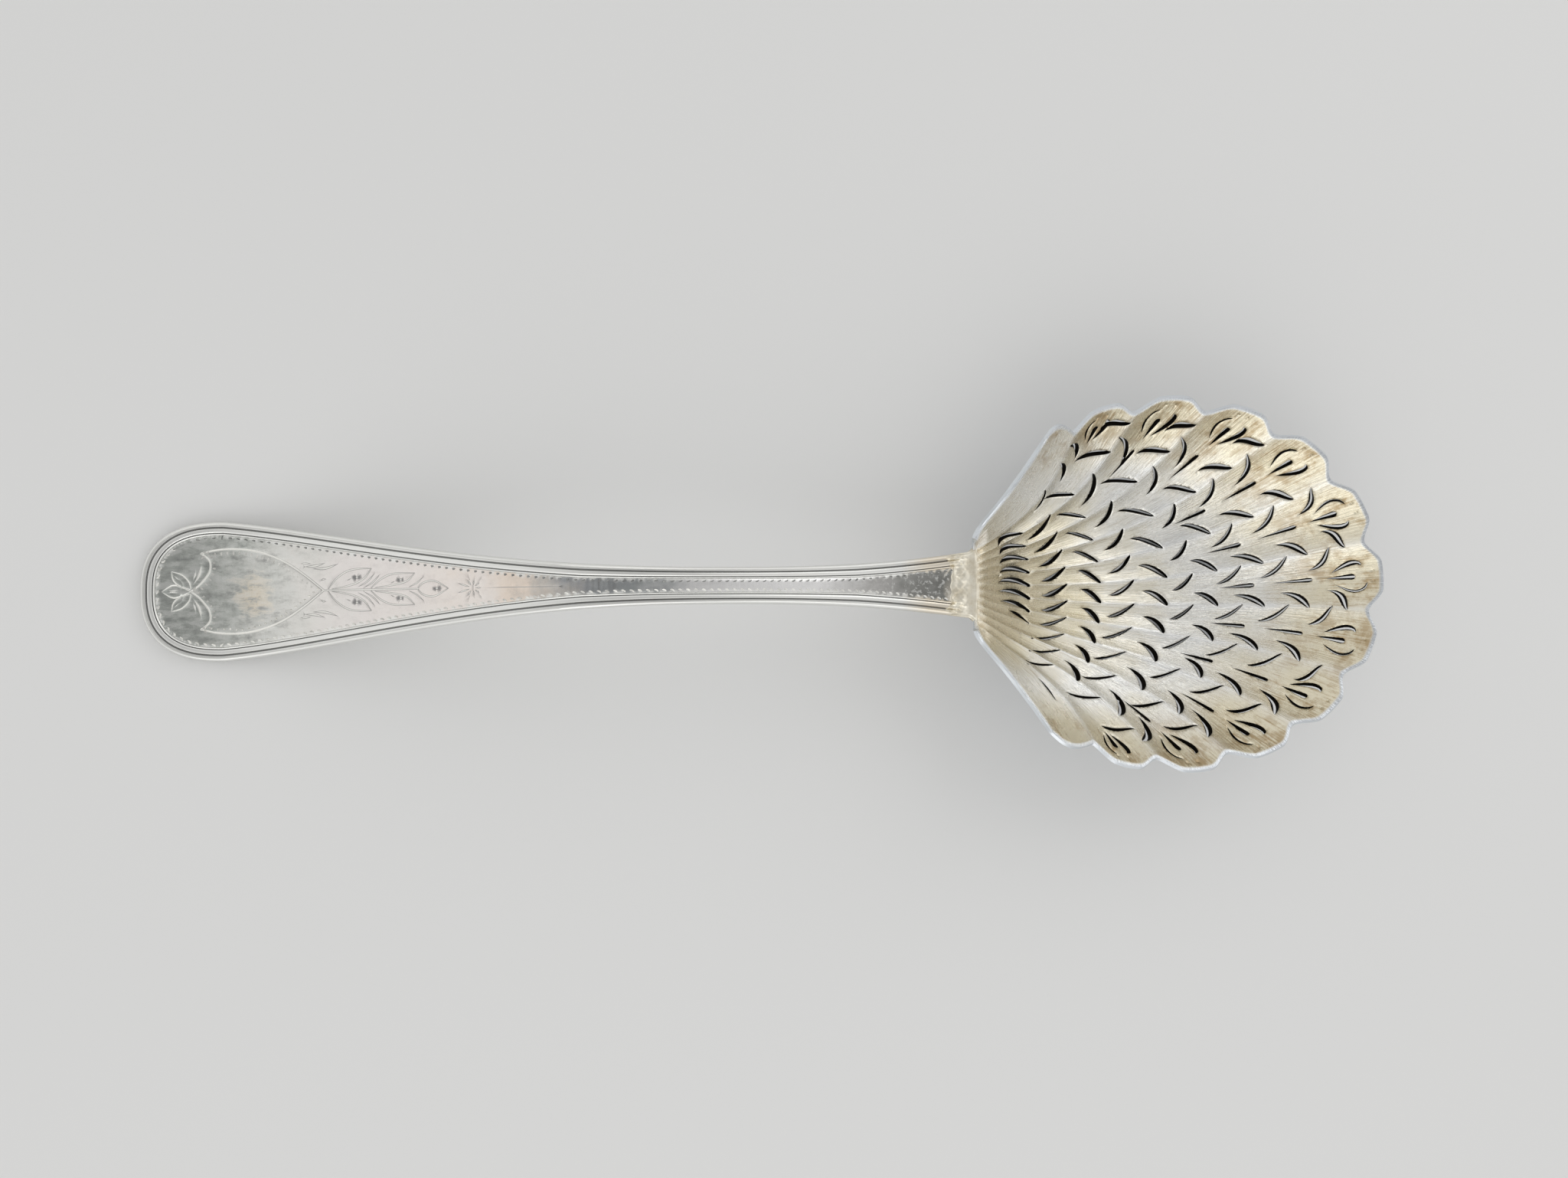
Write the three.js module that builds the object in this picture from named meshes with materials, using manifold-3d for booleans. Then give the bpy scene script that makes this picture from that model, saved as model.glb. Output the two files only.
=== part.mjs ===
// A silver sifter spoon: a forged handle with a reeded border, and a struck, fluted and pierced shell bowl
// whose neck tab is soldered onto the handle's tongue.
// Lengths are in millimetres and angles in degrees. X runs from the handle's tip to the bowl's far rim,
// Y runs across the spoon and Z is up. The spoon rests on its belly and on the underside of the handle's tip.

import * as THREE from "three";
import { mergeVertices } from "three/addons/utils/BufferGeometryUtils.js";
import Module from "manifold-3d";

const manifold = await Module();
manifold.setup();

// Handle, seen from above
const foldX = 132.5; // from the handle's tip to the fold where the neck tab turns down into the bowl
const tipLength = 11; // from the tip to the widest place
const tipRoundness = 2.6; // exponent of the tip's superellipse
const widestHalf = 11.15;
const waistX = 87;
const waistHalf = 2.88;
const taperBend = 1.38; // the two exponents of the taper from the widest place to the waist
const taperFade = 2.4;
const neckHalf = 5.7;
const neckFlare = 2.3; // exponent of the flare from the waist to the neck

// Handle, seen from the side
const archX = 78; // the highest place of the arch
const archHeight = 24;
const restLength = 8; // the flat stretch under the tip
const tipThickness = 1.9;
const waistThickness = 3.4;
const neckThickness = 3.2;
const edgeShare = 0.42; // thickness of the edge, as a share of the thickness in the middle
const wearDepth = 0.2; // how far the two resting places are worn flat

// Reeded border along the handle's edge: place across the border and height over the panel
const borderWidth = 2.3;
const borderShare = 0.66; // the most of the half width that the border takes at the waist
const edgeDrop = 0.4;
const reedHeight = 0.22;
const grooveDepth = 0.06;

// Lap joint at the neck
const sheet = 0.9; // thickness of the bowl's silver
const solderFilm = 0.3;
const tabLength = 4.6;
const tabEndHalf = 3.5;
const tabRootHalf = 4.5;
const foldRadius = 0.6; // the tab's flat ends this far behind the fold
const tabEndRound = 0.9; // how far the tab's end corners are rounded back
const tabEndSquare = 6; // exponent of that rounding
const tongueShort = 0.9; // how far the tongue stops before the fold
const beadWidth = 0.75; // solder standing out round the tab
const beadDrop = 0.25; // from the tab's face down to the bead's crest
const beadGap = 0.1;
const jointGap = 0.3;
const filletHalf = 4.2;
const filletSlope = 0.92; // run of the fillet's front face for each unit down
const beadDrawIn = 0.06; // share by which the bead narrows to its crest

// Bowl, seen from above: an oval outline through the notches between the lobes
const bowlNear = 37.56; // from the fold to the oval's centre
const bowlFar = 37.5; // from the centre to the far notch line
const bowlHalf = 30.2;
const bowlDepth = 16.5;
const bowlFullness = 2.2; // exponent of the bowl's section
const wingCornerY = 24.3; // shoulder of the plain wing beside the outermost rib
const wingCornerX = 12.0; // from the fold
const heelHalf = 7.2; // half width of the shell at the fold
const heelShare = 0.1; // over this share of the way the flat fold turns into the bowl's slope
const flankBow = 13.2; // control point of the flank's curve, across and from the fold
const flankBowX = 6.8;
const wingBulge = 1.2; // the far edge of the wing, standing out past its two shoulders
const wingBulgeBack = 0.4; // share of that bulge that leans back to the neck
const rimGrowth = 6; // exponent with which the edge's lobes fade inwards

// Ribs and flutes of the fan. Ribs lie at half numbers and lobe centres at whole numbers.
const outerRib = 5.5;
const rootPitch = 1.13; // between ribs at the fold
const rootAngle = 4.8; // turn from one rib to the next at the fold
const rimAngle = 23.1; // parameter step of the oval from one rib to the next
const rimAngleEase = 0.058;
const rootPull = 0.4; // reach of the curve's two control points, as shares of its span
const rimPull = 0.3;
const rimTurn = 0.83; // how far a rib turns square to the rim
const lobeRise = 1.3; // lobes standing out past the notches
const lobeFlatness = 3.2;
const fluteAtFold = 0.12;
const fluteAtRim = 1.0;
const fluteGrowth = 1.15;
const wingSwell = 0.3;

// Piercing: rows of comma slots on the ribs, straight slots and florets on the lobe centres
const rowGaps = [18.8, 9.1, 7.4, 7.1, 6.8, 4.4, 4.9, 4.2, 3.9, 4.0, 3.5, 4.2, 2.6];
const rowReach = [8.2, 7.0, 6.0, 5.6, 5.1, 4.4, 5.0, 5.2, 5.5, 5.4, 5.2, 4.6, 3.2];
const rowsOnRib = [13, 12, 11, 9, 7]; // from the middle rib outwards
const rowDrawIn = 0.0052; // rows run closer together on the outer ribs
const rowDrawInFar = 0.00009;
const edgeRows = [
  [15.1, 21.2, 26.8],
  [11.2, 23.4],
]; // slots on the outermost ribs, +Y side and -Y side, which only hook inwards
const edgeReach = 4.3;
const commaHalf = 0.42;
const commaSideShare = 0.6; // sideways reach of a comma as a share of the rib pitch
const commaSideMost = 2.9;
const commaBend = 1.8;
const commaOver = 0.14; // how far a head crosses its rib
const commaBelly = 0.62; // place of a comma's fattest part, from its tail to its head
const straightHalf = 0.36;
const straightSpans = [
  [15.9, 9.4],
  [24.3, 19.6],
]; // from the notch line inwards
const straightsOnLobe = [2, 2, 2, 1, 1, 0]; // from the middle lobe outwards
const cutterReach = 1.2; // how far a cutter stands clear of the sheet
const edgePitchShare = 0.94; // the outermost ribs take their lobe's pitch, measured this far out
const floretSpan = [7.4, 2.4];
const floretHalf = 0.45;
const floretSide = [
  [1.2, 7.2, 0],
  [2.1, 5.0, 0.3],
  [2.7, 2.9, 0],
]; // across, from the notch line, half width

// Fineness of the surfaces
const cellsPerLobe = 3;
const cellsPerWing = 2;
const cellsAlong = 10;
const cellsTowardRim = 0.92; // exponent of the cells' spacing, closer together near the rim
const cellsOnTab = 2;
const stationsOnTip = 9;
const stationsOnTaper = 26;

const lerp = THREE.MathUtils.lerp;
const smooth = (x, low, high) => THREE.MathUtils.smoothstep(x, low, high);
const radians = THREE.MathUtils.degToRad;

// A closed triangle mesh with its shared corners merged and its empty triangles left out
function closedGeometry(points, triangles) {
  const geometry = new THREE.BufferGeometry().setFromPoints(points);
  geometry.setIndex(triangles.flat());
  const merged = mergeVertices(geometry, 1e-4);
  const source = merged.index.array;
  const kept = [];
  for (let i = 0; i < source.length; i += 3) {
    const [a, b, c] = source.slice(i, i + 3);
    if (a !== b && b !== c && c !== a) {
      kept.push(a, b, c);
    }
  }
  merged.setIndex(kept);
  return merged;
}

function toSolid(geometry) {
  const mesh = new manifold.Mesh({
    numProp: 3,
    vertProperties: new Float32Array(geometry.attributes.position.array),
    triVerts: new Uint32Array(geometry.index.array),
  });
  return new manifold.Manifold(mesh);
}

// What the table has worn away: everything below the surface that the spoon rests on
function wornFlat(solid) {
  const depth = 5;
  const length = 2 * (foldX + bowlNear + bowlFar);
  const ground = new THREE.BoxGeometry(length, length, depth).translate(0, 0, -depth / 2);
  ground.deleteAttribute("normal");
  ground.deleteAttribute("uv");
  return solid.subtract(toSolid(mergeVertices(ground)));
}

const finestEdge = 0.004; // edges shorter than this are closed up

function toGeometry(solid) {
  const mesh = solid.simplify(finestEdge).getMesh();
  const geometry = new THREE.BufferGeometry();
  geometry.setAttribute("position", new THREE.BufferAttribute(mesh.vertProperties, 3));
  geometry.setIndex(new THREE.BufferAttribute(mesh.triVerts, 1));
  return geometry;
}

const quad = (a, b, c, d) => [
  [a, b, c],
  [a, c, d],
];

// A sheet between two grids of points, over(i, j) and under(i, j), with i along X and j along Y
function sheetGeometry(countI, countJ, over, under) {
  const points = [];
  for (const face of [over, under]) {
    for (let i = 0; i <= countI; i++) {
      for (let j = 0; j <= countJ; j++) {
        points.push(face(i, j));
      }
    }
  }
  const layer = (countI + 1) * (countJ + 1);
  const top = (i, j) => i * (countJ + 1) + j;
  const low = (i, j) => layer + top(i, j);
  const triangles = [];
  for (let i = 0; i < countI; i++) {
    for (let j = 0; j < countJ; j++) {
      triangles.push(...quad(top(i, j), top(i + 1, j), top(i + 1, j + 1), top(i, j + 1)));
      triangles.push(...quad(low(i, j), low(i, j + 1), low(i + 1, j + 1), low(i + 1, j)));
    }
  }
  for (let i = 0; i < countI; i++) {
    triangles.push(...quad(top(i, 0), low(i, 0), low(i + 1, 0), top(i + 1, 0)));
    triangles.push(...quad(top(i, countJ), top(i + 1, countJ), low(i + 1, countJ), low(i, countJ)));
  }
  for (let j = 0; j < countJ; j++) {
    triangles.push(...quad(top(0, j), top(0, j + 1), low(0, j + 1), low(0, j)));
    triangles.push(...quad(top(countI, j), low(countI, j), low(countI, j + 1), top(countI, j + 1)));
  }
  return closedGeometry(points, triangles);
}

// Bowl

const centreX = foldX + bowlNear;

// Height of the bowl's inner face over its notch line, and the face's upward normal
function bowlHeight(x, y) {
  const reach = x < centreX ? bowlNear : bowlFar;
  const share = Math.hypot((x - centreX) / reach, y / bowlHalf);
  return -bowlDepth * (1 - share ** bowlFullness);
}

function bowlNormal(x, y) {
  const reach = x < centreX ? bowlNear : bowlFar;
  const share = Math.max(Math.hypot((x - centreX) / reach, y / bowlHalf), 1e-3);
  const steepness = bowlDepth * bowlFullness * share ** (bowlFullness - 2);
  const slopeX = (steepness * (x - centreX)) / reach ** 2;
  const slopeY = (steepness * y) / bowlHalf ** 2;
  return new THREE.Vector3(-slopeX, -slopeY, 1).normalize();
}

// A rib's line from the fold to the notch line, as a plan curve
function ribCurve(rib) {
  const angle = radians(rimAngle * rib - rimAngleEase * rib ** 3);
  const root = new THREE.Vector2(foldX, rootPitch * rib);
  const end = new THREE.Vector2(centreX + bowlFar * Math.cos(angle), bowlHalf * Math.sin(angle));
  const square = Math.atan2(Math.sin(angle) / bowlHalf, Math.cos(angle) / bowlFar);
  const span = root.distanceTo(end);
  const leave = radians(rootAngle * rib);
  const arrive = rimTurn * square;
  const first = new THREE.Vector2(Math.cos(leave), Math.sin(leave)).multiplyScalar(rootPull * span);
  const last = new THREE.Vector2(Math.cos(arrive), Math.sin(arrive)).multiplyScalar(-rimPull * span);
  return new THREE.CubicBezierCurve(root, first.add(root), last.add(end), end);
}

function flankCurve(side) {
  const root = new THREE.Vector2(foldX, side * heelHalf);
  const bow = new THREE.Vector2(foldX + flankBowX, side * flankBow);
  const corner = new THREE.Vector2(foldX + wingCornerX, side * wingCornerY);
  return new THREE.QuadraticBezierCurve(root, bow, corner);
}

// Place in plan at a rib number and a share of the way from the fold to the rim
function planPoint(rib, share) {
  const side = Math.sign(rib);
  const past = Math.abs(rib) - outerRib;
  if (past > 0) {
    const inner = ribCurve(side * outerRib).getPoint(share);
    const point = inner.clone().lerp(flankCurve(side).getPoint(share), past);
    const bulge = wingBulge * Math.sin(Math.PI * past) * share ** rimGrowth;
    return point.add(new THREE.Vector2(-wingBulgeBack * bulge, side * bulge));
  }
  const curve = ribCurve(rib);
  const point = curve.getPoint(share);
  const offCentre = 2 * Math.abs(rib - Math.round(rib));
  const rise = lobeRise * (1 - offCentre ** lobeFlatness) * share ** rimGrowth;
  return point.add(curve.getTangent(1).multiplyScalar(rise));
}

// How far a flute is pressed out below the line of its ribs
function fluteDepth(rib, share) {
  const past = Math.abs(rib) - outerRib;
  if (past > 0) {
    return wingSwell * Math.sin(Math.PI * past) * share;
  }
  const depth = lerp(fluteAtFold, fluteAtRim, Math.max(share, 0) ** fluteGrowth);
  return depth * Math.abs(Math.cos(Math.PI * rib));
}

// The rib surface and its normal at a rib number and share, with Z counted from the notch line
function ribSurface(rib, share) {
  const plan = planPoint(rib, share);
  const turn = Math.min(share / heelShare, 1);
  const point = new THREE.Vector3(plan.x, plan.y, bowlHeight(plan.x, plan.y) * turn);
  const normal = new THREE.Vector3(0, 0, 1).lerp(bowlNormal(plan.x, plan.y), lerp(0.5, 1, turn)).normalize();
  return { point, normal };
}

function shellPoint(rib, share, below) {
  const { point, normal } = ribSurface(rib, share);
  return point.addScaledVector(normal, -fluteDepth(rib, share) - below);
}

// The tab behind the fold, level with the notch line
function tabPoint(rib, share, below) {
  const half = lerp(tabRootHalf, tabEndHalf, share);
  const across = rib / (outerRib + 1);
  const cornerRound = tabEndRound * share * Math.abs(across) ** tabEndSquare;
  return new THREE.Vector3(foldX - lerp(foldRadius, tabLength, share) + cornerRound, half * across, -below);
}

const ribNumbers = [];
for (let j = -cellsPerWing; j < 0; j++) {
  ribNumbers.push(-outerRib + j / cellsPerWing);
}
for (let j = 0; j <= 2 * outerRib * cellsPerLobe; j++) {
  ribNumbers.push(-outerRib + j / cellsPerLobe);
}
for (let j = 1; j <= cellsPerWing; j++) {
  ribNumbers.push(outerRib + j / cellsPerWing);
}

// Shares of the way along a rib
const shares = [];
for (let i = 0; i <= cellsAlong; i++) {
  shares.push((i / cellsAlong) ** cellsTowardRim);
}

const rowsOfTab = cellsOnTab + 1;

function shellGrid(i, j, below) {
  const rib = ribNumbers[j];
  return i < rowsOfTab
    ? tabPoint(rib, 1 - i / cellsOnTab, below)
    : shellPoint(rib, shares[i - rowsOfTab], below);
}

const gridRows = cellsAlong + rowsOfTab;
const gridColumns = ribNumbers.length - 1;

// The belly's lowest place sets the height of the notch line, less what is worn flat
let lowest = 0;
for (let i = 0; i <= gridRows; i++) {
  for (let j = 0; j <= gridColumns; j++) {
    lowest = Math.min(lowest, shellGrid(i, j, sheet).z);
  }
}
const notchZ = -lowest - wearDepth;

function lifted(point) {
  return new THREE.Vector3(point.x, point.y, point.z + notchZ);
}

function shellBlank() {
  const over = (i, j) => lifted(shellGrid(i, j, 0));
  const under = (i, j) => lifted(shellGrid(i, j, sheet));
  return toSolid(sheetGeometry(gridRows, gridColumns, over, under));
}

// Distance along a rib from the fold, and the share of the way at which it lies
function ribLengths(rib, steps = 80) {
  const curve = ribCurve(rib);
  const table = [0];
  let last = null;
  for (let i = 0; i <= steps; i++) {
    const plan = curve.getPoint(i / steps);
    const here = new THREE.Vector3(plan.x, plan.y, bowlHeight(plan.x, plan.y));
    if (last) {
      table.push(table[i - 1] + here.distanceTo(last));
    }
    last = here;
  }
  return table;
}

function shareAt(table, distance) {
  const steps = table.length - 1;
  let i = 0;
  while (i < steps - 1 && table[i + 1] < distance) {
    i++;
  }
  return (i + (distance - table[i]) / (table[i + 1] - table[i])) / steps;
}

function pitchAt(rib, share) {
  const step = 0.25;
  const left = ribSurface(rib - step, share).point;
  const right = ribSurface(rib + step, share).point;
  return left.distanceTo(right) / (2 * step);
}

// A cutter along stations [across, along, half width], measured on the sheet from a rib's line
function slotCutter(rib, table, stations) {
  const points = [];
  stations.forEach(([across, along, half], k) => {
    const before = stations[Math.max(k - 1, 0)];
    const after = stations[Math.min(k + 1, stations.length - 1)];
    const way = new THREE.Vector2(after[0] - before[0], after[1] - before[1]).normalize();
    for (const hand of [-1, 1]) {
      const distance = along - hand * half * way.x;
      const sideways = across + hand * half * way.y;
      const share = shareAt(table, distance);
      const { point, normal } = ribSurface(rib + sideways / pitchAt(rib, share), share);
      points.push(point.clone().addScaledVector(normal, cutterReach).add(new THREE.Vector3(0, 0, notchZ)));
      const depth = fluteAtRim + sheet + cutterReach;
      points.push(point.clone().addScaledVector(normal, -depth).add(new THREE.Vector3(0, 0, notchZ)));
    }
  });
  const triangles = [];
  const corner = (k, n) => 4 * k + n; // 0 and 1: right hand over and under, 2 and 3: left hand
  for (let k = 0; k < stations.length - 1; k++) {
    triangles.push(...quad(corner(k, 0), corner(k + 1, 0), corner(k + 1, 2), corner(k, 2)));
    triangles.push(...quad(corner(k, 1), corner(k, 3), corner(k + 1, 3), corner(k + 1, 1)));
    triangles.push(...quad(corner(k, 0), corner(k, 1), corner(k + 1, 1), corner(k + 1, 0)));
    triangles.push(...quad(corner(k, 2), corner(k + 1, 2), corner(k + 1, 3), corner(k, 3)));
  }
  const last = stations.length - 1;
  triangles.push(...quad(corner(0, 0), corner(0, 2), corner(0, 3), corner(0, 1)));
  triangles.push(...quad(corner(last, 0), corner(last, 1), corner(last, 3), corner(last, 2)));
  return toSolid(closedGeometry(points, triangles));
}

// A comma slot: its head on the rib, its thin tail curving back towards the neck on the given side
function commaStations(side, pitch, head, reach) {
  const aside = side * Math.min(commaSideShare * pitch, commaSideMost);
  const fullness = [
    [0, 0],
    [commaBelly, 1],
    [1, 0],
  ];
  return fullness.map(([way, full]) => [
    aside * (1 - way ** commaBend) - side * commaOver * way,
    head - reach * (1 - way),
    commaHalf * full,
  ]);
}

function straightStations(far, near, half) {
  return [
    [0, far, 0],
    [0, near, half],
  ];
}

function rowDistance(row, rib) {
  const distance = rowGaps.slice(0, row + 1).reduce((sum, gap) => sum + gap, 0);
  return distance * (1 - rib ** 2 * (rowDrawIn + rowDrawInFar * distance));
}

function ribCutters() {
  const cutters = [];
  rowsOnRib.forEach((rows, k) => {
    for (const rib of [k + 0.5, -k - 0.5]) {
      const table = ribLengths(rib);
      for (let row = 0; row < rows; row++) {
        const head = rowDistance(row, rib);
        const pitch = pitchAt(rib, shareAt(table, head - rowReach[row] / 2));
        const side = row % 2 === 0 ? 1 : -1;
        cutters.push(slotCutter(rib, table, commaStations(side, pitch, head, rowReach[row])));
      }
    }
  });
  edgeRows.forEach((heads, k) => {
    const rib = k === 0 ? outerRib : -outerRib;
    const table = ribLengths(rib);
    for (const head of heads) {
      const pitch = pitchAt(edgePitchShare * rib, shareAt(table, head));
      cutters.push(slotCutter(rib, table, commaStations(-Math.sign(rib), pitch, head, edgeReach)));
    }
  });
  return cutters;
}

function lobeCutters() {
  const cutters = [];
  const outerLobe = outerRib - 0.5;
  for (let lobe = -outerLobe; lobe <= outerLobe; lobe++) {
    const table = ribLengths(lobe);
    const length = table[table.length - 1];
    for (const [far, near] of straightSpans.slice(0, straightsOnLobe[Math.abs(lobe)])) {
      cutters.push(slotCutter(lobe, table, straightStations(length - far, length - near, straightHalf)));
    }
    const [far, near] = floretSpan;
    cutters.push(slotCutter(lobe, table, straightStations(length - far, length - near, floretHalf)));
    for (const side of [-1, 1]) {
      const stations = floretSide.map(([across, back, half]) => [side * across, length - back, half]);
      cutters.push(slotCutter(lobe, table, stations));
    }
  }
  return cutters;
}

function shellBowl() {
  let bowl = shellBlank();
  for (const cutter of [...ribCutters(), ...lobeCutters()]) {
    bowl = bowl.subtract(cutter);
  }
  return toGeometry(wornFlat(bowl));
}

// Handle

const seatX = foldX - tabLength - beadWidth - beadGap; // where the panel steps down to the tongue
const tongueEndX = foldX - tongueShort;
const seatZ = notchZ - sheet - solderFilm;

function handleHalf(x) {
  if (x < waistX) {
    const way = THREE.MathUtils.clamp((x - tipLength) / (waistX - tipLength), 0, 1);
    return lerp(waistHalf, widestHalf, (1 - way ** taperBend) ** taperFade);
  }
  return lerp(waistHalf, neckHalf, ((x - waistX) / (foldX - waistX)) ** neckFlare);
}

function handleThickness(x) {
  return x < waistX
    ? lerp(tipThickness, waistThickness, smooth(x, tipLength, waistX))
    : lerp(waistThickness, neckThickness, smooth(x, waistX, seatX));
}

// Height of the panel: flat under the tip, up over the arch and down to the neck
function panelZ(x) {
  const tipZ = tipThickness - wearDepth;
  return x < archX
    ? lerp(tipZ, archHeight, smooth(x, restLength, archX))
    : lerp(archHeight, notchZ, smooth(x, archX, seatX));
}

// Stations of the handle's edge from the tongue's end to the tip: place, outward direction and seat step
function handleStations() {
  const stations = [];
  const along = (x, onSeat) => {
    const slope = x < seatX ? (handleHalf(x + 0.1) - handleHalf(x - 0.1)) / 0.2 : 0;
    const out = new THREE.Vector2(-slope, 1).normalize();
    stations.push({ edge: new THREE.Vector2(x, handleHalf(x)), out, onSeat });
  };
  along(tongueEndX, true);
  along(seatX, true);
  for (let k = 0; k < stationsOnTaper; k++) {
    along(lerp(seatX, tipLength, k / stationsOnTaper), false);
  }
  for (let k = 0; k <= stationsOnTip; k++) {
    const angle = (Math.PI / 2) * (1 - k / stationsOnTip);
    const bend = 2 / tipRoundness;
    const back = Math.cos(angle) ** bend;
    const aside = Math.sin(angle) ** bend;
    const edge = new THREE.Vector2(tipLength * (1 - back), widestHalf * aside);
    const forward = back ** (tipRoundness - 1) / tipLength;
    const sideways = aside ** (tipRoundness - 1) / widestHalf;
    stations.push({ edge, out: new THREE.Vector2(-forward, sideways).normalize(), onSeat: false });
  }
  const tip = stations[stations.length - 1];
  tip.edge.set(0, 0);
  tip.out.set(-1, 0);
  return stations;
}

// Border profile from the edge inwards: share of the border's width and height over the panel
const borderProfile = [
  [0.1, 0.4 * reedHeight],
  [0.24, reedHeight],
  [0.38, 0.5 * reedHeight],
  [0.45, -grooveDepth],
  [0.52, 0.5 * reedHeight],
  [0.7, 0.8 * reedHeight],
  [0.92, 0.5 * reedHeight],
  [1, 0],
];
const undersideShares = [1, 0.7, 0.42, 0.2, 0.07, 0]; // from the middle line to the edge
const undersideRoundness = 2.2; // exponent of the rounded back's section

// Half of the section at a station, from the underside's middle round the edge to the panel's middle
function handleSection({ edge, out, onSeat }) {
  const border = Math.min(borderWidth, borderShare * handleHalf(Math.max(edge.x, tipLength)));
  const inner = edge.clone().addScaledVector(out, -border);
  inner.y = Math.max(inner.y, 0);
  const rimZ = (x) => (onSeat ? seatZ : panelZ(x));
  const section = undersideShares.map((share) => {
    const x = lerp(edge.x, inner.x, share);
    const y = edge.y * (1 - share);
    const crown = (1 - (1 - share) ** undersideRoundness) ** (1 / undersideRoundness);
    const z = panelZ(x) - edgeDrop - handleThickness(x) * lerp(edgeShare, 1, crown) + edgeDrop * crown;
    return new THREE.Vector3(x, y, z);
  });
  section.push(new THREE.Vector3(edge.x, edge.y, rimZ(edge.x) - (onSeat ? 0 : edgeDrop)));
  for (const [share, rise] of borderProfile) {
    const place = edge.clone().addScaledVector(out, -border * share);
    section.push(new THREE.Vector3(place.x, Math.max(place.y, 0), rimZ(place.x) + (onSeat ? 0 : rise)));
  }
  section.push(new THREE.Vector3(inner.x, inner.y / 2, rimZ(inner.x)));
  section.push(new THREE.Vector3(inner.x, 0, rimZ(inner.x)));
  return section;
}

function handleBody() {
  const sections = handleStations().map(handleSection);
  const around = sections[0].length;
  const points = [];
  for (const section of sections) {
    for (const hand of [1, -1]) {
      for (const p of section) {
        points.push(new THREE.Vector3(p.x, hand * p.y, p.z));
      }
    }
  }
  const at = (i, hand, j) => (2 * i + hand) * around + j;
  const triangles = [];
  for (let i = 0; i < sections.length - 1; i++) {
    for (let j = 0; j < around - 1; j++) {
      triangles.push(...quad(at(i, 0, j), at(i + 1, 0, j), at(i + 1, 0, j + 1), at(i, 0, j + 1)));
      triangles.push(...quad(at(i, 1, j), at(i, 1, j + 1), at(i + 1, 1, j + 1), at(i + 1, 1, j)));
    }
  }
  for (let j = 0; j < around - 1; j++) {
    triangles.push(...quad(at(0, 0, j), at(0, 0, j + 1), at(0, 1, j + 1), at(0, 1, j)));
  }
  return toGeometry(wornFlat(toSolid(closedGeometry(points, triangles))));
}

// Solder

// A closed prism over a plan outline, between two heights, with its upper edge drawn in
function prism(outline, lowZ, highZ, drawIn) {
  const middle = outline.reduce((sum, p) => sum.add(p), new THREE.Vector2()).divideScalar(outline.length);
  const count = outline.length;
  const points = [];
  for (const [z, share] of [
    [lowZ, 0],
    [highZ, drawIn],
  ]) {
    for (const p of outline) {
      const q = p.clone().lerp(middle, share);
      points.push(new THREE.Vector3(q.x, q.y, z));
    }
    points.push(new THREE.Vector3(middle.x, middle.y, z));
  }
  const triangles = [];
  for (let k = 0; k < count; k++) {
    const next = (k + 1) % count;
    triangles.push([count, next, k]);
    triangles.push([2 * count + 1, count + 1 + k, count + 1 + next]);
    triangles.push(...quad(k, next, count + 1 + next, count + 1 + k));
  }
  return toSolid(closedGeometry(points, triangles));
}

// The tab's outline in plan, grown outwards, from the fold round its end and back
function tabOutline(grow) {
  const outline = [];
  const steps = 12;
  for (let k = 0; k <= steps; k++) {
    const across = lerp(-1, 1, k / steps);
    const end = tabPoint(across * (outerRib + 1), 1, 0);
    outline.push(new THREE.Vector2(end.x - grow, end.y * (1 + grow / tabEndHalf)));
  }
  const root = tabPoint(outerRib + 1, 0, 0);
  outline.push(new THREE.Vector2(root.x, root.y + grow));
  outline.push(new THREE.Vector2(root.x, -root.y - grow));
  return outline.reverse();
}

// The film under the tab and the bead that stands round its edge
function neckSolder() {
  const cushion = prism(tabOutline(beadWidth), seatZ, notchZ - beadDrop, beadDrawIn);
  const pocket = prism(tabOutline(beadGap), notchZ - sheet, notchZ + 1, 0);
  return toGeometry(cushion.subtract(pocket));
}

// The fillet in the corner between the tongue's end and the heel of the bowl
function heelSolder() {
  const low = notchZ - neckThickness;
  const high = seatZ - jointGap;
  const back = tongueEndX + beadGap;
  const underHeel = (z) => foldX + (notchZ - z - sheet - 2 * jointGap) * filletSlope - jointGap;
  const points = [];
  for (const y of [-filletHalf, filletHalf]) {
    points.push(new THREE.Vector3(back, y, low));
    points.push(new THREE.Vector3(underHeel(low), y, low));
    points.push(new THREE.Vector3(underHeel(high), y, high));
    points.push(new THREE.Vector3(back, y, high));
  }
  const triangles = [...quad(0, 1, 2, 3), ...quad(4, 7, 6, 5)];
  for (let k = 0; k < 4; k++) {
    const next = (k + 1) % 4;
    triangles.push(...quad(k, k + 4, next + 4, next));
  }
  return closedGeometry(points, triangles);
}

// Assembly

const silver = new THREE.MeshStandardMaterial({ color: 0xb9b7b2, roughness: 0.32, metalness: 1 });
const gilt = new THREE.MeshStandardMaterial({ color: 0xcfc29c, roughness: 0.35, metalness: 1 });
const solder = new THREE.MeshStandardMaterial({ color: 0xc9bfa2, roughness: 0.55, metalness: 1 });

function piece(name, geometry, material) {
  const mesh = new THREE.Mesh(geometry, material);
  mesh.name = name;
  return mesh;
}

const spoon = new THREE.Group();
spoon.add(piece("handle", handleBody(), silver));
const bowl = piece("shell_bowl", shellBowl(), gilt);
spoon.add(bowl);
spoon.add(piece("neck_solder", neckSolder(), solder));
spoon.add(piece("heel_solder", heelSolder(), solder));

// The origin lies under the middle of the spoon's length, on the surface that it rests on
bowl.geometry.computeBoundingBox();
spoon.position.x = -bowl.geometry.boundingBox.max.x / 2;

export default spoon;
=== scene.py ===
import math
from functools import partial

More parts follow.
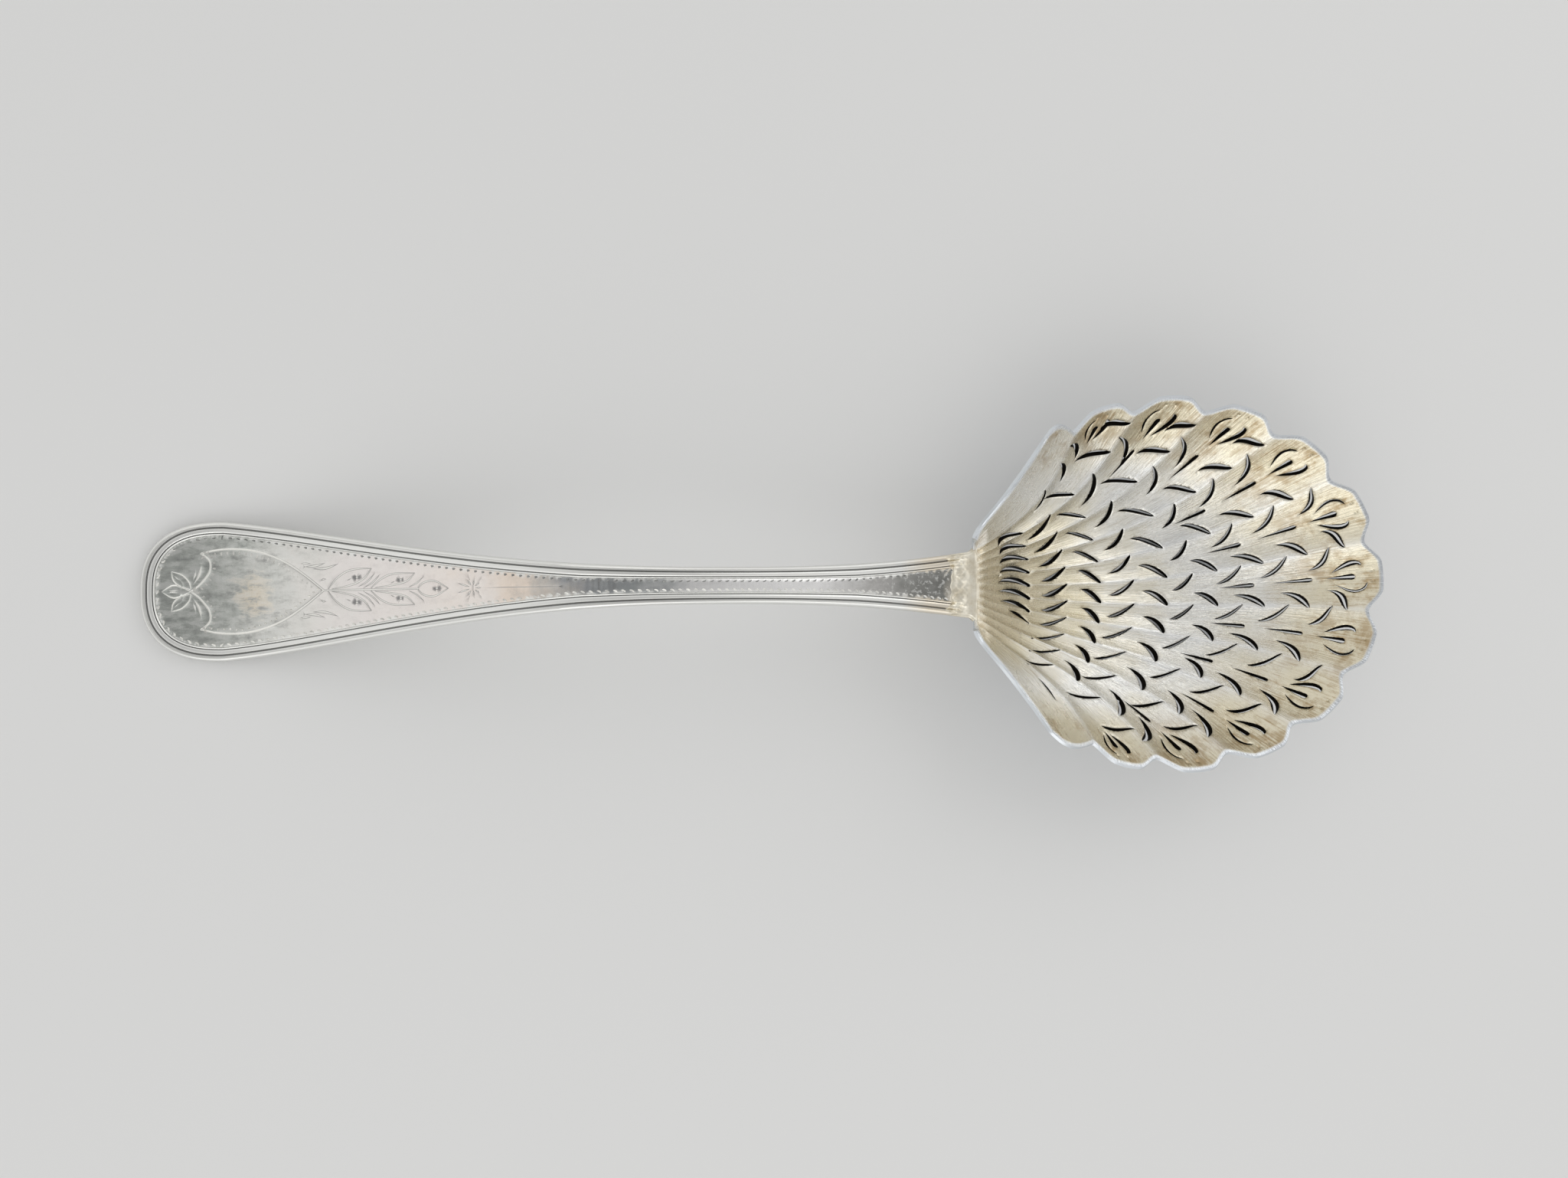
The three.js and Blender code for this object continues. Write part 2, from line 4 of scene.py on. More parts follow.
import bmesh
import bpy
import numpy as np
from bpy.props import FloatProperty, FloatVectorProperty, PointerProperty
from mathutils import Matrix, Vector
from mathutils.geometry import delaunay_2d_cdt


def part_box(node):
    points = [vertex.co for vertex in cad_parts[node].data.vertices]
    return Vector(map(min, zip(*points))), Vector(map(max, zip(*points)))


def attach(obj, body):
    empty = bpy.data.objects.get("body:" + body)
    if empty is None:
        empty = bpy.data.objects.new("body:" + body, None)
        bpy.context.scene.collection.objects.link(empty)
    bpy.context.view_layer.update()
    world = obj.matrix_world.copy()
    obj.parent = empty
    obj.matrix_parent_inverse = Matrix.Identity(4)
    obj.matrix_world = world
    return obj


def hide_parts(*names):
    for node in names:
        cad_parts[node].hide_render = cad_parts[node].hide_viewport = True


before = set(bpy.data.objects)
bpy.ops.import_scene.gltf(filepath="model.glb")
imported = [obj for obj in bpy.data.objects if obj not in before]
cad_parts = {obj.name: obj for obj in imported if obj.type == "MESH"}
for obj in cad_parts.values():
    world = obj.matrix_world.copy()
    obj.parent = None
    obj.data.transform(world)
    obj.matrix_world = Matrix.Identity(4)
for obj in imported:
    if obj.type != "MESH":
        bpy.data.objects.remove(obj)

bl_info = {
    "name": "Sifter spoon",
    "version": (1, 0, 0),
    "blender": (4, 5, 0),
    "location": "View3D > Sidebar > Spoon",
    "description": "Dresses a silver sifter spoon: pierced shell bowl, engraved handle, solder and stage",
    "category": "Object",
}

# Lengths in this file are in millimetres, counted from the handle's tip along X, until a mesh is made.
MM = 0.001
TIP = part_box("handle")[0].x / MM
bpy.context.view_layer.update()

# Bowl in plan: rib lines fan out from the fold to an oval through the notches
FOLD_X = 132.5
BOWL_NEAR = 37.56
BOWL_FAR = 37.5
BOWL_HALF = 30.2
CENTRE_X = FOLD_X + BOWL_NEAR
OUTER_LOBE = 5
LOBES = range(-OUTER_LOBE, OUTER_LOBE + 1)
OUTER_RIB = OUTER_LOBE + 0.5
EDGE_RIB = OUTER_RIB + 1
ROOT_PITCH = 1.2
ROOT_SHIFT = -0.5
ROOT_ANGLE = 4.35
ROOT_LEAN = -2.4
RIM_ANGLE = 23.37
RIM_ANGLE_EASE = 0.058
RIM_TWIST = 2.3
ROOT_PULL = 0.69
RIM_PULL = 0.21
RIM_TURN = 0.71
LOBE_RISE = 1.13
LOBE_FLAT = 0.35
NOTCH_CUT = 0.25
RIM_GROWTH = 6
WING_CORNER = (12.0, 24.3)
FLANK_BOW = (6.8, 13.2)
HEEL_HALF = 7.2
HEEL_SHARE = 0.0067
HEEL_EASE = 0.9
HEEL_FADE = 0.14
SHOULDER = 1.4
SHOULDER_BACK = 0.6
WING_BULGE = 1.2
WING_BULGE_BACK = 0.4

# Tab and tongue of the lap joint
SHEET = 0.9
SOLDER_FILM = 0.3
TAB_LENGTH = 4.6
TAB_END_HALF = 3.5
TAB_ROOT_HALF = 4.5
FOLD_RADIUS = 0.6
TAB_END_ROUND = 0.9
TAB_END_SQUARE = 6
TONGUE_SHORT = 0.9
BEAD_WIDTH = 0.75
BEAD_GAP = 0.1
TAB_COLUMNS = 15
TAB_ROWS = 9
# The tab counts as this much share below the fold, and no row of it as less than a part of that
TAB_SHARE = 0.05
TAB_SHARE_LEAST = 0.1

# The filed rim. Steps: distance from the edge, how far the sheet is sunk there and how bare of gilding it is
RIM_STEPS = ((0.28, 0.09, 1.0), (0.55, 0.0, 0.6), (0.75, 0.0, 0.0))
RIM_DROP = 0.27
# How far inner points keep from the edge, and the spacing along it, times the mesh's own
RIM_CLEAR = 0.95
RIM_SPACING = 0.8
FLANK_STEPS = 68

# Piercing, row by row from the neck: places along each rib, widths, and how far aside each tail lies, in ribs
ROW_GAPS = (17.9, 9.6, 7.6, 7.0, 6.6, 4.9, 4.5, 4.4, 3.9, 4.2, 3.5, 3.9, 2.5)
ROW_REACH = (9.9, 6.0, 4.0, 5.0, 4.6, 4.0, 4.3, 4.8, 5.5, 5.3, 5.2, 4.5, 4.2)
ROW_ASIDE = (0.69, 0.74, 0.68, 0.6, 0.54, 0.48, 0.4, 0.38, 0.28, 0.35, 0.28, 0.32, 0.3)
ROW_HALF = (0.26, 0.38, 0.44, 0.34, 0.48, 0.3, 0.45, 0.27, 0.45, 0.3, 0.45, 0.31, 0.4)
REACH_LEAN = (-0.5, 0.6)
SHORTEST_REACH = 1.5
ROWS_ON_RIB = (13, 12, 11, 9, 7)
ROW_DRAW_IN = 0.0079
ROW_DRAW_IN_FAR = 0.00005
ROW_DRAW_IN_EDGE = 0.0000013
ROW_LEAN = 0.002
COMMA_WAY = np.array([0, 0.1, 0.2, 0.32, 0.44, 0.55, 0.65, 0.75, 0.84, 0.92, 0.97, 1.0])
COMMA_OVER = 0.03
COMMA_BENDS = (2.1, 1.9)
COMMA_BELLIES = (0.68, 0.45)
# The first row's arches: values at the middle of the bowl, and their growth for each rib towards +Y
ARCH_TAIL = (0.3, -0.075)
ARCH_TOP = (0.42, -0.01)
ARCH_HEAD = (-0.12, 0.0)
ARCH_HALF = (0.42, 0.035)
ARCH_BELLY = 0.72
ARCH_TOP_WAY = 0.55
ARCH_SHORTER = 0.5
STRAIGHT_RIB = -2.5
STRAIGHT_REACH = 6.6
PUNCHED_DOTS = ((-3.5, 17.1), (-4.5, 15.8), (-5.5, 14.7))
PUNCHED_RADIUS = 0.24
# A slot's width on the outside, times that inside, and how far other points keep from it, times its lip
SLOT_TAPER = 0.3
LIP_CLEAR = 1.9
# Slots beside the outer ribs: rib, head, reach, aside, half width
EDGE_SLOTS = (
    (5.5, 20.8, 5.6, -0.42, 0.3),
    (5.5, 26.2, 4.8, -0.4, 0.32),
    (5.45, 30.2, 4.4, -0.36, 0.3),
    (-5.72, 22.8, 5.2, 0.03, 0.2),
)
STRAIGHT_SPANS = ((16.6, 10.3), (26.0, 19.8))
STRAIGHTS_ON_LOBE = (2, 2, 2, 1, 1, 0)
STRAIGHT_HALF = 0.34
FLORET_SPAN = (8.2, 3.9)
FLORET_HALF = 0.46
# The florets' side curls, across and back from the rim: a fat one towards the middle, and a thin hook
FLORET_CURLS = (
    (((0.9, 7.4), (1.5, 6.4), (2.1, 5.3), (2.5, 4.2), (2.45, 3.3), (1.9, 2.9)), 0.36),
    (((1.2, 6.9), (1.8, 5.9), (2.35, 4.8), (2.55, 3.6), (2.0, 2.6), (1.0, 2.2)), 0.2),
)
OUTER_FLORET = 0.75
FLORET_DOTS = ((0.9, 1.35), (-0.9, 1.35))
# A punched dot's rings: radius, how far it is sunk and number of points
DOT_RINGS = ((0.3, 0.0, 10), (0.17, 0.1, 8), (0.0, 0.17, 1))
DOT_CLEAR = 0.42

# Handle
TIP_LENGTH = 11.0
TIP_ROUND = 12.2
TIP_ROUNDNESS = 2.45
WIDEST_HALF = 11.15
WAIST_X = 87.0
WAIST_HALF = 2.88
TAPER_BEND = 1.38
TAPER_FADE = 2.4
NECK_HALF = 5.7
NECK_FLARE = 2.45
ARCH_X = 78.0
ARCH_HEIGHT = 24.0
REST_LENGTH = 8.0
TIP_THICKNESS = 1.9
WAIST_THICKNESS = 3.4
NECK_THICKNESS = 3.2
EDGE_SHARE = 0.42
EDGE_DROP = 0.4
WEAR_DEPTH = 0.2
EDGE_BEVEL = 0.06
EDGE_ROUND = 0.6
EDGE_ROUND_SHARE = 0.18
BORDER_SHARE = 0.66
SEAT_X = FOLD_X - TAB_LENGTH - BEAD_WIDTH - BEAD_GAP
PANEL_END_X = FOLD_X - TAB_LENGTH - 0.05
TONGUE_END_X = FOLD_X - TONGUE_SHORT
UNDERSIDE_ROUNDNESS = 2.2

# Engraved panel: spacing of its points, and how far they stay from the tip, the border and the strokes
PANEL_SPACING = 0.55
PANEL_START = 1.5
PANEL_HALF = 9.35
PANEL_CLEAR = 0.3
STROKE_CLEAR = 0.25
STROKE_WIDTH = 1.05
FLORET_X = 51.2
FLORET_DASHES = 9

# Bright cuts and ticks: length along the row, width, height, slant and lean in radians
FAR_CUT = (0.7, 0.36, 0.15, -0.35, 0.5)
NEAR_CUT = (0.72, 0.4, 0.18, -0.45, 0.35)
TICK = (0.3, 0.62, 0.14, 0.0, 0.0)
CUT_SIDES = 10
CUT_INSIDE = 0.3
CUT_SUNK = 0.06
# From the tip to this distance the +Y row of cuts is bright; past it that row is in painted shade
CUTS_TURN_BRIGHT = 5.0
TICKS_INSIDE = 0.66

# Solder over the neck: its mesh, how far it laps on the panel and past the fold, and its lip's thickness
NECK_ROWS = 52
NECK_COLUMNS = 81
NECK_LAP = 0.3
NECK_OVER = 0.2
NECK_FREE = 0.4
# The solder's fillets at the shoulders, and the mesh of the fillet under the neck
SHOULDER_FILLET = 0.8
SHOULDER_START = 1.9
FILLET_STEPS = 11
FILLET_RINGS = 25

# Named inputs of the node trees, and the distance in metres at which points of the shell are joined
PLAN_SIZES = ("Centre", "Near", "Far", "Half", "Notch height", "Heel ease", "Heel", "Heel fade")
STRUCK_SIZES = ("Depth", "Fullness", "Flute at fold", "Flute at rim", "Flute growth", "Ridge softness")
STRUCK_SIZES += ("Wing swell", "Sheet")
CUT_SIZES = ("Length", "Width", "Height")
SHELL_WELD = 0.0000015

# Fine hair scratches and pits of all the metal: noise scales per metre, turns in radians, depth in metres
HAIR_SCALE = (260.0, 2600.0, 900.0)
HAIR_TURN = 0.5
CROSS_SCALE = (2300.0, 210.0, 800.0)
CROSS_TURN = -0.9
PIT_SCALE = 1900.0
METAL_BUMP = 0.00006
EDGE_TARNISH = (0.42, 0.40, 0.37)
# Darker tone of the walls of the slots: painted shade, near black, with some tarnish
WALL_PAINTED_SHADE = (0.006, 0.005, 0.004)
SOLDER_TARNISH = (0.50, 0.43, 0.30)
CUT_TARNISH = 0.4

# Height above the table of the notch line, on which the tab's upper face lies
NOTCH_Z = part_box("neck_solder")[1].z / MM + 0.25


def length(name, description, millimetres):
    """A size that a user may change, kept in metres."""
    return FloatProperty(name=name, description=description, default=millimetres * MM, unit="LENGTH")


def share_of(name, description, default):
    """A share that a user may change."""
    return FloatProperty(name=name, description=description, default=default, soft_min=0.0, soft_max=1.0)


def tint(name, description, colour):
    """A colour that a user may change."""
    return FloatVectorProperty(
        name=name, description=description, default=colour, size=3, subtype="COLOR", min=0.0, max=1.0
    )


def power(name, description, watts):
    """A lamp's power, which a user may change."""
    return FloatProperty(name=name, description=description, default=watts, unit="POWER")


def smoothstep(x, low, high):
    """Rises smoothly from 0 at low to 1 at high."""
    t = np.clip((np.asarray(x, float) - low) / (high - low), 0, 1)
    return t * t * (3 - 2 * t)


class SpoonShellSettings(bpy.types.PropertyGroup):
    depth: length("Bowl depth", "Depth of the bowl below its notch line", 16.5)
    fullness: FloatProperty(name="Fullness", description="Exponent of the bowl's section", default=2.2)
    flute_at_fold: length("Flute at the fold", "Depth of the pleats where the bowl begins", 0.38)
    flute_at_rim: length("Flute at the rim", "Depth of the flutes at the rim", 1.0)
    flute_growth: FloatProperty(name="Flute growth", description="How late the flutes deepen", default=0.8)
    ridge_softness: share_of("Ridge softness", "How far the ribs between the flutes are rounded", 0.05)
    wing_swell: length("Wing swell", "Depth of the plain wings beside the fan", 0.3)
    sheet: length("Sheet", "Thickness of the silver", SHEET)
    slot_width: FloatProperty(name="Slot width", description="Width of the slots, times", default=1.25)
    lip: length("Slot lip", "Width of the softened edge round each slot", 0.15)
    lip_drop: length("Lip drop", "How far that edge is pressed down", 0.1)
    spacing: length("Mesh spacing", "Distance between the points of the sheet", 0.5)
    gilt: tint("Gilding", "Colour of the gilded inside", (0.77, 0.71, 0.55))
    worn: tint("Worn gilding", "Colour where the gilding has thinned to silver", (0.87, 0.87, 0.85))
    heel: tint("Heel", "Colour of the pale heel", (0.93, 0.86, 0.70))
    tarnish: tint("Tarnish", "Brown tarnish in the lobes", (0.40, 0.28, 0.14))
    edge: tint("Sheet edge", "Colour of the ungilded edge and outside", (0.70, 0.73, 0.76))
    # Walls of the slots: near black as painted shade, so that the slots read as dark holes, with some tarnish
    wall: tint("Slot walls", "Colour of the black tarnish in the slots", (0.014, 0.012, 0.010))


class SpoonHandleSettings(bpy.types.PropertyGroup):
    border: length("Border width", "Width of the reeded border", 2.3)
    reed: length("Reed height", "Height of the reeds over the panel", 0.22)
    groove: length("Groove depth", "Depth of the grooves between the reeds", 0.12)
    engraving: length("Engraving depth", "Depth of the widest engraved strokes", 0.09)
    bead_pitch: length("Cut pitch", "Distance between the bright cuts inside the border", 1.22)
    tick_pitch: length("Tick pitch", "Distance between the ticks inside the shield", 0.93)
    silver: tint("Silver", "Colour of the polished silver", (0.86, 0.86, 0.83))
    cut: tint("Bright cuts", "Colour of freshly cut silver", (0.88, 0.87, 0.82))
    stain: tint("Stain", "Colour of the warm stain inside the shield", (0.86, 0.77, 0.62))
    # Far cuts: a dark copy of the cut silver, painted shade for the +Y row, which is cut like the rest
    far_cut_painted_shade: tint("Far cuts", "Colour of the cuts that face away from the light", (0.36, 0.36, 0.35))
    shade: tint("Shaded silver", "Colour of the tarnish in the grooves", (0.20, 0.20, 0.20))


class SpoonSolderSettings(bpy.types.PropertyGroup):
    lump: length("Lumps", "Height of the lumps in the solder over the joint", 0.1)
    colour: tint("Solder", "Colour of the solder", (0.93, 0.88, 0.75))


class SpoonStageSettings(bpy.types.PropertyGroup):
    floor: tint("Floor", "Colour of the floor", (0.80, 0.80, 0.79))
    key_power: power("Key light", "Power of the large soft light", 0.6)
    fill_power: power("Fill light", "Power of the second light", 0.4)
    world: share_of("World", "Strength of the light from all round", 0.78)


# Plan of the bowl


def rib_line(rib, share):
    """Plan points on the rib lines, from the fold at share 0 to the notch line at share 1."""
    rib, share = np.broadcast_arrays(np.asarray(rib, float), np.asarray(share, float))
    angle = np.radians(RIM_ANGLE * rib - RIM_ANGLE_EASE * rib**3 + RIM_TWIST)
    root_x, root_y = np.full_like(rib, FOLD_X), ROOT_PITCH * rib + ROOT_SHIFT
    end_x, end_y = CENTRE_X + BOWL_FAR * np.cos(angle), BOWL_HALF * np.sin(angle)
    square = np.arctan2(np.sin(angle) / BOWL_HALF, np.cos(angle) / BOWL_FAR)
    span = np.hypot(end_x - root_x, end_y - root_y)
    leave, arrive = np.radians(ROOT_ANGLE * rib + ROOT_LEAN), RIM_TURN * square
    first_x, first_y = root_x + ROOT_PULL * span * np.cos(leave), root_y + ROOT_PULL * span * np.sin(leave)
    last_x, last_y = end_x - RIM_PULL * span * np.cos(arrive), end_y - RIM_PULL * span * np.sin(arrive)
    a, b, c, d = (1 - share) ** 3, 3 * share * (1 - share) ** 2, 3 * share**2 * (1 - share), share**3
    x = a * root_x + b * first_x + c * last_x + d * end_x
    y = a * root_y + b * first_y + c * last_y + d * end_y
    return x, y, np.cos(arrive), np.sin(arrive)


def flank_line(share):
    """Plan points along the flank, from the fold to the wing's shoulder, on the +Y side."""
    a, b, c = (1 - share) ** 2, 2 * share * (1 - share), share**2
    x = FOLD_X + b * FLANK_BOW[0] + c * WING_CORNER[0]
    y = a * HEEL_HALF + b * FLANK_BOW[1] + c * WING_CORNER[1]
    left = np.clip(1 - share, 0, 1)
    swell = SHOULDER * left**1.5 * (1 - left**10)
    return x - swell - SHOULDER_BACK * left**8, y + swell


def plan(rib, share):
    """Plan points of the whole sheet, with the lobes standing out past the notches and the plain wings."""
    rib, share = np.broadcast_arrays(np.asarray(rib, float), np.asarray(share, float))
    inside = np.clip(rib, -OUTER_RIB, OUTER_RIB)
    x, y, way_x, way_y = rib_line(inside, share)
    off_centre = 2 * np.abs(inside - np.round(inside))
    rise = LOBE_RISE - (LOBE_RISE + NOTCH_CUT) * smoothstep(off_centre, LOBE_FLAT, 1.0)
    rise = rise * np.abs(share) ** RIM_GROWTH
    x, y = x + way_x * rise, y + way_y * rise
    past = np.clip(np.abs(rib) - OUTER_RIB, 0, None)
    side = np.sign(rib)
    flank_x, flank_y = flank_line(share)
    bulge = WING_BULGE * np.sin(np.pi * past) * np.abs(share) ** RIM_GROWTH
    x = np.where(past > 0, x + (flank_x - x) * past - WING_BULGE_BACK * bulge, x)
    y = np.where(past > 0, y + (side * flank_y - y) * past + side * bulge, y)
    return x, y


def bowl_height(x, y, depth, fullness):
    """Height of the plain oval bowl over its notch line."""
    reach = np.where(x < CENTRE_X, BOWL_NEAR, BOWL_FAR)
    out = np.hypot((x - CENTRE_X) / reach, y / BOWL_HALF)
    return -depth * (1 - out**fullness)


class SheetRuler:
    """Measures along and across the ribs on the bowl's surface."""

    def __init__(self, settings):
        self.depth = settings.depth / MM
        self.fullness = settings.fullness

    def surface(self, rib, share):
        """Points of the unfluted bowl, eased into the flat tab."""
        x, y = plan(rib, share)
        height = bowl_height(x, y, self.depth, self.fullness)
        ease = HEEL_EASE * (1 - smoothstep(share, 0, HEEL_FADE))
        stretch = self.depth / (np.hypot(self.depth, ease) - ease)
        turn = np.clip(np.asarray(share) / HEEL_SHARE, 0, 1) * stretch
        return np.stack([x, y, np.sign(height) * (np.hypot(height, ease) - ease) * turn], -1)

    def height_near_fold(self, x, y):
        """Height of the sheet's upper face over the notch line, close to the fold."""
        share = np.clip((x - FOLD_X) / (3 * ROOT_PULL * (BOWL_NEAR + BOWL_FAR)), 0, 1)
        height = bowl_height(np.maximum(x, FOLD_X), y, self.depth, self.fullness)
        stretch = self.depth / (np.hypot(self.depth, HEEL_EASE) - HEEL_EASE)
        eased = np.sign(height) * (np.hypot(height, HEEL_EASE) - HEEL_EASE) * stretch
        return eased * np.clip(share / HEEL_SHARE, 0, 1)

    def table(self, rib, steps=160):
        """Shares of the way along a rib and the distances from the fold at which they lie."""
        shares = np.linspace(0, 1, steps + 1)
        x, y, _, _ = rib_line(rib, shares)
        points = np.stack([x, y, bowl_height(x, y, self.depth, self.fullness)], -1)
        return shares, run_along(points)

    def pitch(self, rib, share, step=0.25):
        """Distance from one rib to the next."""
        gap = self.surface(rib - step, share) - self.surface(rib + step, share)
        return np.linalg.norm(gap, axis=-1) / (2 * step)

    def place(self, rib, sideways, along):
        """Rib numbers and shares of points given across and along from a rib's line."""
        shares, distances = self.table(rib)
        share = np.interp(along, distances, shares)
        return rib + sideways / self.pitch(rib, share), share


def run_along(points):
    """Distances along a line of points, counted from its start."""
    return np.concatenate([[0], np.cumsum(np.linalg.norm(np.diff(points, axis=0), axis=1))])


def to_the_right(way):
    """Unit directions square to the given ones, on their right."""
    way = way / np.maximum(np.linalg.norm(way, axis=1), 1e-9)[:, None]
    return np.stack([way[:, 1], -way[:, 0]], -1)


def stroke_outline(across, along, half):
    """Closed outline round a stroke, from its tail up one side to its head and back down the other."""
    line = np.stack([across, along], -1)
    aside = to_the_right(np.gradient(line, axis=0)) * half[:, None]
    return np.concatenate([line[:1], (line - aside)[1:-1], line[-1:], (line + aside)[-2:0:-1]])


def grown(outline, margin):
    """The same outline moved outwards by a margin."""
    way = np.roll(outline, -1, axis=0) - np.roll(outline, 1, axis=0)
    area = np.sum(outline[:, 0] * np.roll(outline[:, 1], -1) - outline[:, 1] * np.roll(outline[:, 0], -1))
    hand = 1 if area > 0 else -1
    return outline + hand * margin * to_the_right(way)


def comma_width(way, belly):
    """Width along a comma: a thin tail, a belly and a blunt head."""
    rising = np.sin(np.pi / 2 * np.clip(way / belly, 0, 1)) ** 1.1
    falling = np.sqrt(np.clip(1 - (np.clip(way - belly, 0, None) / (1 - belly)) ** 2, 0, 1))
    return rising * falling


def ribbon(ruler, rib, along, offset, half):
    """A slot as (rib, across, along, half widths), from distances along a rib and offsets in ribs."""
    shares, distances = ruler.table(rib)
    across = offset * ruler.pitch(rib, np.interp(along, distances, shares))
    return rib, across, along, half


def comma(ruler, rib, head, reach, aside, half, kind):
    """A comma slot: its tail lies aside between the ribs and its head crosses its own rib."""
    way = COMMA_WAY
    offset = aside * (1 - way ** COMMA_BENDS[kind]) - np.sign(aside) * COMMA_OVER * way
    return ribbon(ruler, rib, head - reach * (1 - way), offset, half * comma_width(way, COMMA_BELLIES[kind]))


def arch(ruler, rib, width):
    """A slot of the first row: an arch that leans over more from rib to rib."""
    way, top_way = COMMA_WAY, ARCH_TOP_WAY
    tail, top, head = (middle + lean * rib for middle, lean in (ARCH_TAIL, ARCH_TOP, ARCH_HEAD))
    offset = tail * (way - top_way) * (way - 1) / top_way
    offset = offset + top * way * (way - 1) / (top_way * (top_way - 1))
    offset = offset + head * way * (way - top_way) / (1 - top_way)
    reach = ROW_REACH[0] - ARCH_SHORTER * abs(rib)
    half = width * (ARCH_HALF[0] + ARCH_HALF[1] * rib)
    along = row_distance(0, rib) - reach * (1 - way)
    return ribbon(ruler, rib, along, offset, half * comma_width(way, ARCH_BELLY))


def wedge(rib, far, near, half):
    """A straight slot that widens from a point to a blunt outer end."""
    way = np.array([0, 0.25, 0.5, 0.72, 0.88, 0.96, 1.0])
    full = way**0.8 * np.sqrt(np.clip(1 - np.clip((way - 0.86) / 0.14, 0, 1) ** 2, 0, 1))
    return rib, 0 * way, far + (near - far) * way, half * full


def curl(rib, points, half):
    """A slot along a smooth curve through the given points, fattest past its middle."""
    way = np.linspace(0, 1, 12)
    knots = np.linspace(0, 1, len(points))
    spline = [smooth_through(knots, [p[axis] for p in points], way) for axis in (0, 1)]
    full = np.sin(np.pi * way**1.3) ** 0.7
    full[-1] = 0
    return rib, np.array(spline[0]), np.array(spline[1]), half * full


def smooth_through(knots, values, where):
    """Catmull and Rom's curve through values at evenly spaced knots."""
    values = np.asarray(values, float)
    padded = np.concatenate([[2 * values[0] - values[1]], values, [2 * values[-1] - values[-2]]])
    scaled = np.clip(np.asarray(where) / (knots[1] - knots[0]), 0, len(values) - 1 - 1e-9)
    k = scaled.astype(int)
    t = scaled - k
    a, b, c, d = padded[k], padded[k + 1], padded[k + 2], padded[k + 3]
    return 0.5 * (2 * b + (c - a) * t + (2 * a - 5 * b + 4 * c - d) * t**2 + (3 * b - a - 3 * c + d) * t**3)


def row_distance(row, rib):
    """Distance from the fold of a row's slot heads, less on the outer ribs."""
    distance = sum(ROW_GAPS[: row + 1])
    draw_in = rib**2 * (ROW_DRAW_IN + ROW_DRAW_IN_FAR * distance) + rib**4 * ROW_DRAW_IN_EDGE * distance
    return distance * (1 + ROW_LEAN * rib - draw_in)


def slots(ruler, settings):
    """Every slot of the bowl as (rib, across, along, half widths), in millimetres from that rib's line."""
    found = []
    width = settings.slot_width
    for k, rows in enumerate(ROWS_ON_RIB):
        for rib in (k + 0.5, -k - 0.5):
            if rib > STRAIGHT_RIB:
                found.append(arch(ruler, rib, width))
            elif rib == STRAIGHT_RIB:
                head = row_distance(0, rib)
                found.append(comma(ruler, rib, head, STRAIGHT_REACH, ROW_ASIDE[0], width * ROW_HALF[0], 1))
            for row in range(1, rows):
                odd = row % 2
                aside = ROW_ASIDE[row] * (-1 if odd else 1)
                head, half = row_distance(row, rib), width * ROW_HALF[row]
                reach = max(ROW_REACH[row] + REACH_LEAN[odd] * rib, SHORTEST_REACH)
                found.append(comma(ruler, rib, head, reach, aside, half, odd))
    for rib, head, reach, aside, half in EDGE_SLOTS:
        found.append(comma(ruler, rib, head, reach, aside, width * half, 1))
    turn = np.linspace(-1, 1, 6) * np.pi / 2
    for rib, along in PUNCHED_DOTS:
        found.append((rib, 0 * turn, along + PUNCHED_RADIUS * np.sin(turn), PUNCHED_RADIUS * np.cos(turn)))
    for lobe in LOBES:
        end = ruler.table(lobe)[1][-1]
        for far, near in STRAIGHT_SPANS[: STRAIGHTS_ON_LOBE[abs(lobe)]]:
            found.append(wedge(lobe, end - far, end - near, width * STRAIGHT_HALF))
        scale = OUTER_FLORET if abs(lobe) == OUTER_LOBE else 1.0
        far, near = (end - scale * back for back in FLORET_SPAN)
        found.append(wedge(lobe, far, near, width * FLORET_HALF))
        towards_middle = -1 if lobe > 0 else 1
        for side, (line, half) in zip((towards_middle, -towards_middle), FLORET_CURLS):
            path = [(scale * side * across, end - scale * back) for across, back in line]
            found.append(curl(lobe, path, width * half))
    return found


class Blank:
    """The flat pierced blank: points in plan with their rib numbers, shares and reliefs, and fixed edges."""

    def __init__(self):
        self.points = []
        self.edges = []
        self.loops = []
        self.count = 0

    def add(self, rib, share, lift=0.0, under=0.0, xy=None, pierced=0.0, inward=(0.0, 0.0), rim=0.0):
        """Adds points with what they carry, and returns their numbers."""
        rib, share = np.broadcast_arrays(np.asarray(rib, float), np.asarray(share, float))
        x, y = plan(rib, share) if xy is None else xy
        lift, under, pierced, rim = (np.broadcast_to(v, rib.shape) for v in (lift, under, pierced, rim))
        inward = np.broadcast_to(inward, (*rib.shape, 2))
        self.points.append(np.column_stack([x, y, rib, share, lift, under, pierced, inward, rim]))
        first = self.count
        self.count += len(rib)
        return np.arange(first, self.count)

    def close(self, ids):
        """Joins points into a closed loop of fixed edges."""
        self.edges += list(zip(ids.tolist(), np.roll(ids, -1).tolist()))
        self.loops.append(ids)


def row_ribs(ruler, share, spacing):
    """Rib numbers of one row of points across the sheet, evenly spaced, with one on every rib and lobe."""
    found = [-EDGE_RIB]
    starts = [-EDGE_RIB] + list(np.arange(-OUTER_RIB, OUTER_RIB + 0.1, 0.5)) + [EDGE_RIB]
    for low, high in zip(starts[:-1], starts[1:]):
        fine = np.linspace(low, high, 9)
        run = run_along(ruler.surface(fine, share))
        pieces = max(1, round(run[-1] / spacing))
        found += list(np.interp(np.linspace(0, run[-1], pieces + 1)[1:], run, fine))
    return np.array(found)


